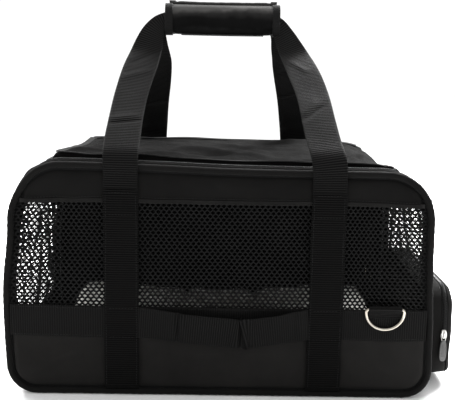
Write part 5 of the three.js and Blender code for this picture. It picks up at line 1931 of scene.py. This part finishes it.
def pull_tab(name, o, eu, ev, ew, body, node, length, width, thick, mat, slot, ribs=0, metal_link=True, taper=0.8):
    """A pull that hangs along -ev from o: a small link and a shaped tab with a raised rim or grip ribs."""
    parts = []
    tab0 = 3.4 if metal_link else 0.0
    out = []
    for t in np.linspace(0, 2 * np.pi, 56, endpoint=False):
        c_, s_ = math.cos(t), math.sin(t)
        vv = -(tab0 + (length - tab0) / 2) + s_ * (length - tab0) / 2
        k = (1 + taper) / 2 - (1 - taper) / 2 * s_
        ww = width / 2 * k * (1 if c_ >= 0 else -1) * abs(c_) ** 0.5
        out.append((ww, vv))
    out = np.array(out)
    mid = out.mean(0)
    V, F = rounded_plate(out, -thick / 2, thick / 2, min(0.5, thick * 0.4))
    parts.append((to_frame(V, o, eu, ev, ew), F, 0))
    # a raised rim on the face
    rim = mid + (out - mid) * np.array([0.80, 0.90])
    C = np.column_stack([rim, np.full(len(rim), thick / 2 - 0.05)])
    def small_tube(C, r, closed=True, ring=8):
        T = np.roll(C, -1, 0) - np.roll(C, 1, 0) if closed else np.gradient(C, axis=0)
        T /= np.linalg.norm(T, axis=1)[:, None]
        B = np.cross(T, [0, 0, 1.0])
        nb = np.linalg.norm(B, axis=1)[:, None]
        B = np.where(nb < 1e-6, np.array([1.0, 0, 0]), B / np.maximum(nb, 1e-9))
        D = np.cross(B, T)
        a = np.linspace(0, 2 * np.pi, ring, endpoint=False)
        P = C[:, None, :] + r * (B[:, None, :] * np.cos(a)[None, :, None] + D[:, None, :] * np.sin(a)[None, :, None])
        n_ = len(C)
        F_ = grid_faces(ring, n_, closed_u=True)
        if closed:
            b = (n_ - 1) * ring
            F_ += [(b + i, b + (i + 1) % ring, (i + 1) % ring, i) for i in range(ring)]
        else:
            F_ += [tuple(range(ring))[::-1], tuple(range((n_ - 1) * ring, n_ * ring))]
        return P.reshape(-1, 3), F_
    V, F = small_tube(C, 0.38)
    parts.append((to_frame(V, o, eu, ev, ew), F, 0))
    for i in range(ribs):
        vv = -tab0 - (length - tab0) * (0.22 + 0.56 * i / max(1, ribs - 1))
        C = np.array([(-width * 0.24, vv, thick / 2), (0, vv, thick / 2 + 0.08), (width * 0.24, vv, thick / 2)])
        C = resample(C, 0.5)[0]
        V, F = small_tube(C, 0.42, closed=False)
        parts.append((to_frame(V, o, eu, ev, ew), F, 0))
    if metal_link:
        t = np.linspace(0, 2 * np.pi, 36, endpoint=False)
        hw, hv = width * 0.26, tab0 * 0.5 + 1.4
        C = np.column_stack([np.sign(np.cos(t)) * np.abs(np.cos(t)) ** 0.6 * hw, -hv + 1.2 + np.sin(t) * hv, 0.25 * np.sin(t * 2)])
        V, F = small_tube(C, 0.52)
        parts.append((to_frame(V, o, eu, ev, ew), F, 1))
    ob = recalc(joined(name, parts, [mat, ZAMAK]))
    return place(ob, body, slot, node)


EX, EY, EZ = np.eye(3)
# top zip: the slider stands near the middle of the left end, its metal pull lies to the rear
o_ = np.array([-196.4, 8.0, float(top_z(np.array([-196.4]))[0]) + 1.1])
slider_body("v_top_zip_slider", o_ + at(o_), EX, EY, EZ, "top_slider", "top_zip_slider", 10.0, 6.4)
o_ = np.array([-196.4, 12.0, float(top_z(np.array([-196.4]))[0]) + 4.0])
pull_tab("v_top_zip_pull", o_ + at(o_), EX, -EY, EZ, "top_pull", "top_zip_pull", 25.0, 6.0, 1.3, ZAMAK, "ring_steel", taper=0.72)

# door zip
dz = rr_curve(-DOOR_Y - 3.3, DOOR_Y + 3.3, 41.0, DOOR_Z1 + 3.3, DOOR_R + 3.3)
dz = dz[:-max(1, int(round(2 * (DOOR_Y + 3.3) / 3.0)))]
Pd = end_pt(dz[:, 0], dz[:, 1], 1.2, -1)
Nd = np.tile([-1.0, 0, 0], (len(Pd), 1))
hz_ = np.clip((dz[:, 1] - 207) / 50, 0, 1)
Nd[:, 2] = hz_
v, f = coil_rows(Pd, Nd, 0.95, 5.0, 0.75, 0.95)
door_coil = mesh_obj("v_door_zip_coil", v, f, uv=v[:, 1:], mats=[COIL])
place(door_coil, "shell", "zip_coil", "door_zip_coil")
tape_along("v_door_zip_tape", Pd + Nd * -0.2, Nd, 4.3, TAPE, T=0.6, step=0.8, amp=0.0)
o_ = np.array([-HL - 1.9, DOOR_Y + 4.2, 53.0])
slider_body("v_door_zip_slider", o_ + at(o_), -EY, -EZ, -EX, "door_slider", "door_zip_slider", 10.0, 6.4)
o_ = np.array([-HL - 4.4, DOOR_Y + 4.2, 49.5])
pull_tab("v_door_zip_pull", o_ + at(o_), EY, EZ, -EX, "door_pull", "door_zip_pull", 28.0, 6.6, 1.7, RUBBER, "pull_rubber", ribs=7)

# pocket zip
pz_ = offset_curve(pc, 1.5)
keep = pz_[:, 1] > 34.0
start = np.argmax(~keep & np.roll(keep, -1))
order = (np.arange(len(pz_)) + start + 1) % len(pz_)
pz_ = pz_[order][keep[order]]
tn = np.gradient(pz_, axis=0)
tn /= np.hypot(tn[:, 0], tn[:, 1])[:, None]
Np = np.stack([np.zeros(len(pz_)), tn[:, 1], -tn[:, 0]], 1)
Pp = soft(np.stack([np.full(len(pz_), 253.4), pz_[:, 0], pz_[:, 1]], 1))
v, f = coil_rows(Pp, Np, 0.95, 4.2, 0.3, 0.95)
pocket_coil = mesh_obj("v_pocket_zip_coil", v, f, uv=v[:, :2], mats=[COIL])
place(pocket_coil, "shell", "zip_coil", "pocket_zip_coil")
tape_along("v_pocket_zip_tape", Pp - Np * 0.5, Np, 3.5, TAPE, T=0.6, step=0.8, amp=0.0)
o_ = np.array([253.0, -POCK_Y - 2.3, 65.0])
slider_body("v_pocket_zip_slider", o_ + at(o_), EX, EZ, -EY, "pocket_slider", "pocket_zip_slider", 10.5, 6.8)
o_ = np.array([252.8, -POCK_Y - 4.6, 61.6])
pull_tab("v_pocket_zip_pull", o_ + at(o_), EX, EZ, -EY, "pocket_pull", "pocket_zip_pull", 29.0, 8.6, 1.9, RUBBER, "pull_rubber", ribs=8, taper=0.84)


# =====================================================================
# fleece mat on the board
# =====================================================================
def mat_block():
    """The slack bolster before it is filled: rounded in plan, its sides already turned."""
    a, b, z0, z1, r = 202.5, 124.0, 10.0, 56.5, 14.0
    lv = []
    for k, (ins, z) in enumerate(((8, z0), (3, z0 + 2.5), (0, z0 + 9), (-0.8, z0 + 20), (-0.8, z1 - 20), (0, z1 - 9), (2.5, z1 - 3.0), (6.5, z1))):
        lv.append((ins, z))
    t = rr_curve(-a, a, -b, b, r, step=8, square_bottom=False, n_arc=9)
    n = len(t)
    P = [np.column_stack([offset_curve(t, -i), np.full(n, z)]) for i, z in lv]
    V = np.vstack(P)
    F = grid_faces(n, len(lv), closed_u=True)
    F.append(tuple(range(n))[::-1])
    F.append(tuple(range((len(lv) - 1) * n, len(lv) * n)))
    return recalc(mesh_obj("v_floor_mat", V, F, mats=[FLEECE]))


floor_mat = puffed(mat_block(), 6.0, 4.0, 6.0, frames=20, stiff=10.0)


def mat_shape(P):
    x, y, z = P[:, 0], P[:, 1], P[:, 2]
    up = sstep(24, 48, z)
    q = np.stack([x, y], 1)
    z = z + up * (1.2 * waves(q, 70, 151) + 0.6 * waves(q, 30, 152))
    z = z - up * (9.0 * np.exp(-((x - 48) / 5.0) ** 2) + 9.0 * np.exp(-((x + 48) / 5.0) ** 2))     # two sewn channels, where it folds
    dish = 1 - sstep(70, 150, np.abs(x) + 3.0 * waves(q, 90, 153))
    z = 8.0 + (z - 8.0) * (1.0 - 0.14 * dish)
    z = np.clip(z, 8.0, 60.5)
    x = np.clip(x, -204.5, 204.5)
    y = np.clip(y, -126.8, 126.8)
    return np.stack([x, y, z], 1)


edit(floor_mat, mat_shape)
subsurf(floor_mat)
tx = bpy.data.textures.new("pile", "CLOUDS")
tx.noise_scale = 0.006
tx.noise_depth = 2
dm = floor_mat.modifiers.new("pile", "DISPLACE")
dm.texture = tx
dm.texture_coords = "LOCAL"
dm.strength = 0.0022
dm.mid_level = 0.5
place(floor_mat, "shell", "fleece", "floor_mat")


# =====================================================================
# CAD pieces that keep their shape
# =====================================================================
def finish_cad(node, mat, bevel=0.0):
    o = NODES[node]
    o.data.materials.clear()
    o.data.materials.append(mat)
    if bevel:
        m = o.modifiers.new("edge", "BEVEL")
        m.width = bevel * MM
        m.segments = 3
        m.limit_method = "ANGLE"
    return o


finish_cad("base_board", BOARD, 0.8)
finish_cad("tether_tab", TAPE, 0.5)
finish_cad("tether_strap", TAPE, 0.6)
finish_cad("tether_hook", NICKEL, 0.5)


# =====================================================================
# stitching
# =====================================================================
shell_st, flap_st, door_st, lid_st = [], [], [], []


def front_line(pts, side, y, per=2.5):
    """A stitched line drawn in (x, z) on the front or rear face."""
    P = resample(np.column_stack([pts, np.zeros(len(pts))]), per)[0]
    C = soft(np.stack([P[:, 0], np.full(len(P), side * y), P[:, 1]], 1))
    return stitches(C, np.tile([0, float(side), 0], (len(C), 1)))


for side, xs in ((-1, STRAP_XF), (1, STRAP_XR)):
    for x0 in xs:
        for e in (-16.6, 16.6):
            shell_st.append(front_line([(x0 + e, 12), (x0 + e, 229)], side, 147.3))
        for za, zb in ((69.5, 102.5), (206, 229.5)):
            w = 15.2
            shell_st.append(front_line([(x0 - w, za), (x0 + w, za)], side, 147.4))
            shell_st.append(front_line([(x0 - w, zb), (x0 + w, zb)], side, 147.4))
    e = 228.5
    st = xs
    for a, b in ((-e, st[0] - 20), (st[0] + 20, st[1] - 20), (st[1] + 20, e)):
        for z in (70.3, 101.7):
            x = np.linspace(a, b, 60)
            y = 144.2 + 0.9 * bays(x, st, edge=half_width(np.array([86.0]), 8.6)[0], power=0.8) + 0.7
            C = soft(np.stack([x, side * y, np.full(60, z)], 1))
            shell_st.append(stitches(C, np.tile([0, float(side), 0], (60, 1))))
x = np.linspace(-half_width(np.array([222.4]), 12)[0], half_width(np.array([222.4]), 12)[0], 160)
C = soft(np.stack([x, np.full(160, -144.95), 224.6 + 0.35 * waves(x[:, None], 60, 7)], 1))
shell_st.append(stitches(C, np.tile([0, -1.0, 0], (160, 1))))

# round the flap opening and on the flap
for L_, lift, bag in ((ustr(131.9, -199.6), 1.15, shell_st), (ustr(118.0, -185.0), 1.1, flap_st), (ustr(122.6, -189.8), 1.1, flap_st)):
    if bag is flap_st:
        C = soft(np.stack([L_[:, 0], L_[:, 1], top_z(L_[:, 0]) + 0.3 + flap_z(L_[:, 0], L_[:, 1])], 1))
        bag.append(stitches(C + flap_normals(L_) * 0.75, flap_normals(L_)))
    else:
        C = soft(np.stack([L_[:, 0], L_[:, 1], top_z(L_[:, 0]) + lift], 1))
        bag.append(stitches(C, np.tile([0, 0, 1.0], (len(C), 1))))
# round the door
for k, bag in ((6.4, shell_st), (-2.6, door_st)):
    q = rr_curve(-DOOR_Y - k, DOOR_Y + k, DOOR_Z0 - (k if k < 0 else 0) , DOOR_Z1 + k, DOOR_R + k)
    if k > 0:
        q = q[:-max(1, int(round(2 * (DOOR_Y + k) / 3.0)))]
    C = end_pt(q[:, 0], q[:, 1], 1.35, -1)
    bag.append(stitches(C, np.tile([-1.0, 0, 0], (len(C), 1))))
q = rr_curve(-DOOR_Y + 8, DOOR_Y - 8, DOOR_Z0 + 8, DOOR_Z1 - 8, DOOR_R - 8)
C = end_pt(q[:, 0], q[:, 1], 0.75, -1)
door_st.append(stitches(C, np.tile([-1.0, 0, 0], (len(C), 1))))
# end tapes
for z in (102.2, 107.8, 219.2, 223.8):
    y = np.linspace(-133, 133, 60)
    C = end_pt(y, np.full(60, z), 1.45, 1)
    shell_st.append(stitches(C, np.tile([1.0, 0, 0], (60, 1))))


def stitch_piece(name, parts, body):
    o = joined(name, parts, [THREAD])
    return place(o, body, "webbing")


stitch_piece("v_shell_stitching", shell_st, "shell")
stitch_piece("v_flap_stitching", flap_st, "top_flap")
stitch_piece("v_door_stitching", door_st, "end_door")


# =====================================================================
# floor, light and camera
# =====================================================================
def floor():
    n = Nodes("pale_floor")
    s = n.noise(3.0, 4.0, 0.5)
    n.link(n.ramp(s, [(0.3, (0.93, 0.93, 0.93)), (0.7, (0.95, 0.95, 0.95))]), n.b.inputs["Base Color"])
    n.link(n.span(s, 0.55, 0.7, 0.3, 0.7), n.b.inputs["Roughness"])
    n.set(spec=0.2)
    R = 9000.0
    o = mesh_obj("pale_floor", [(-R, -R, 0), (R, -R, 0), (R, R, 0), (-R, R, 0)], [(0, 1, 2, 3)], mats=[n.mat], smooth=False)


floor()

world = bpy.data.worlds.new("studio")
bpy.context.scene.world = world
world.use_nodes = True
wn = world.node_tree
wn.nodes["Background"].inputs[0].default_value = (1.0, 1.0, 1.0, 1)
wn.nodes["Background"].inputs[1].default_value = 1.1


def area(name, loc, look, size, energy, size_y=None):
    d = bpy.data.lights.new(name, "AREA")
    d.shape = "RECTANGLE"
    d.size, d.size_y = size, size_y or size
    d.energy = energy
    o = bpy.data.objects.new(name, d)
    bpy.context.scene.collection.objects.link(o)
    o.location = loc
    o.rotation_mode = "QUATERNION"
    o.rotation_quaternion = (Vector(look) - Vector(loc)).to_track_quat("-Z", "Y")
    return o


area("overhead", (0.0, 0.42, 1.8), (0, 0.1, 0.15), 1.5, 46, 1.0)
area("left_soft", (-1.05, 0.62, 1.05), (-0.16, 0.03, 0.06), 0.7, 34)
area("right_soft", (0.80, 0.72, 1.20), (0.18, 0.04, 0.06), 0.6, 77)

cam_data = bpy.data.cameras.new("camera")
cam = bpy.data.objects.new("camera", cam_data)
bpy.context.scene.collection.objects.link(cam)
cam_data.sensor_width = 36.0
cam_data.lens = 36.0 * 783.24 / 455.0
cam_data.clip_start, cam_data.clip_end = 0.05, 60.0
pitch, yaw, roll = -0.1787, -0.0100, 0.0181
R_ = (Matrix.Rotation(yaw, 3, "Z") @ Matrix.Rotation(pitch, 3, "X"))
right_, fwd_, up_ = R_ @ Vector((1, 0, 0)), R_ @ Vector((0, 1, 0)), R_ @ Vector((0, 0, 1))
r2 = right_ * math.cos(roll) + up_ * math.sin(roll)
u2 = -right_ * math.sin(roll) + up_ * math.cos(roll)
m4 = Matrix(((r2.x, u2.x, -fwd_.x, -0.00385), (r2.y, u2.y, -fwd_.y, -0.97483), (r2.z, u2.z, -fwd_.z, 0.37527), (0, 0, 0, 1)))
cam.matrix_world = m4
bpy.context.scene.camera = cam
bpy.context.scene.view_settings.view_transform = "Standard"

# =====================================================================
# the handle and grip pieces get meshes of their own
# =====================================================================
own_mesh(h_front)
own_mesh(h_rear)
for o_ in grips:
    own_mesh(o_)


# ---------------------------------------------------------------------
# fabric hinges: each crosses one joint
# ---------------------------------------------------------------------
def hinge_cloth(name, fn, u0, u1, v0, v1, inside):
    """A strip of lining cloth from body to body. fn(u, v) gives points, v runs across the hinge."""
    o = sheet_grid(name, lines(u0, u1, 4.0), lines(v0, v1, 0.8), fn, [LINING, LINING])
    orient(o, inside)
    solidify(o, 0.7)
    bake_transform(o)
    return o


def flap_hinge_pt(u, v):
    return soft(np.stack([v, u, top_z(v) + 0.1 - 3.2 * sstep(4.5, 9.0, np.abs(v - 200.8))], 1))


hinge_cloth("v_top_flap_hinge_cloth", flap_hinge_pt, -117, 117, 185.0, 219.0, (0, 0, -400))


def door_hinge_pt(u, v):
    return end_pt(u, v, -1.2, -1)


hinge_cloth("v_end_door_hinge_cloth", door_hinge_pt, -98, 98, 31.0, 43.0, (0, 0, 40))


def lid_hinge_pt(u, v):
    return soft(np.stack([v, u, np.full(np.shape(u), POCK_Z0 + 2.1) + 0.03 * (v - 240) * (v < 256)], 1))


hinge_cloth("v_pocket_hinge_cloth", lid_hinge_pt, -80, 80, 242.0, 259.6, (255, 0, 60))


# ---------------------------------------------------------------------
# the cloth that each panel was cut from
# ---------------------------------------------------------------------
for o_, w_, l_, a_, on_ in ((front_lower, 0.474, 0.100, None, ["v_front_piping"]), (front_upper, 0.470, 0.032, None, ["v_front_piping"]), (rear_panel, 0.474, 0.246, None, ["v_rear_piping"]),
                            (front_net, 0.466, 0.126, 0.045, ["v_front_lower_panel"]), (door_net, 0.200, 0.150, None, ["v_end_door_border"]), (right_net, 0.270, 0.124, 0.026, ["v_right_end_lower_panel"]),
                            (base, 0.273, 0.500, None, ["base_board"]), (right_lower, 0.273, 0.076, None, ["v_base_panel"])):
    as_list(on_)
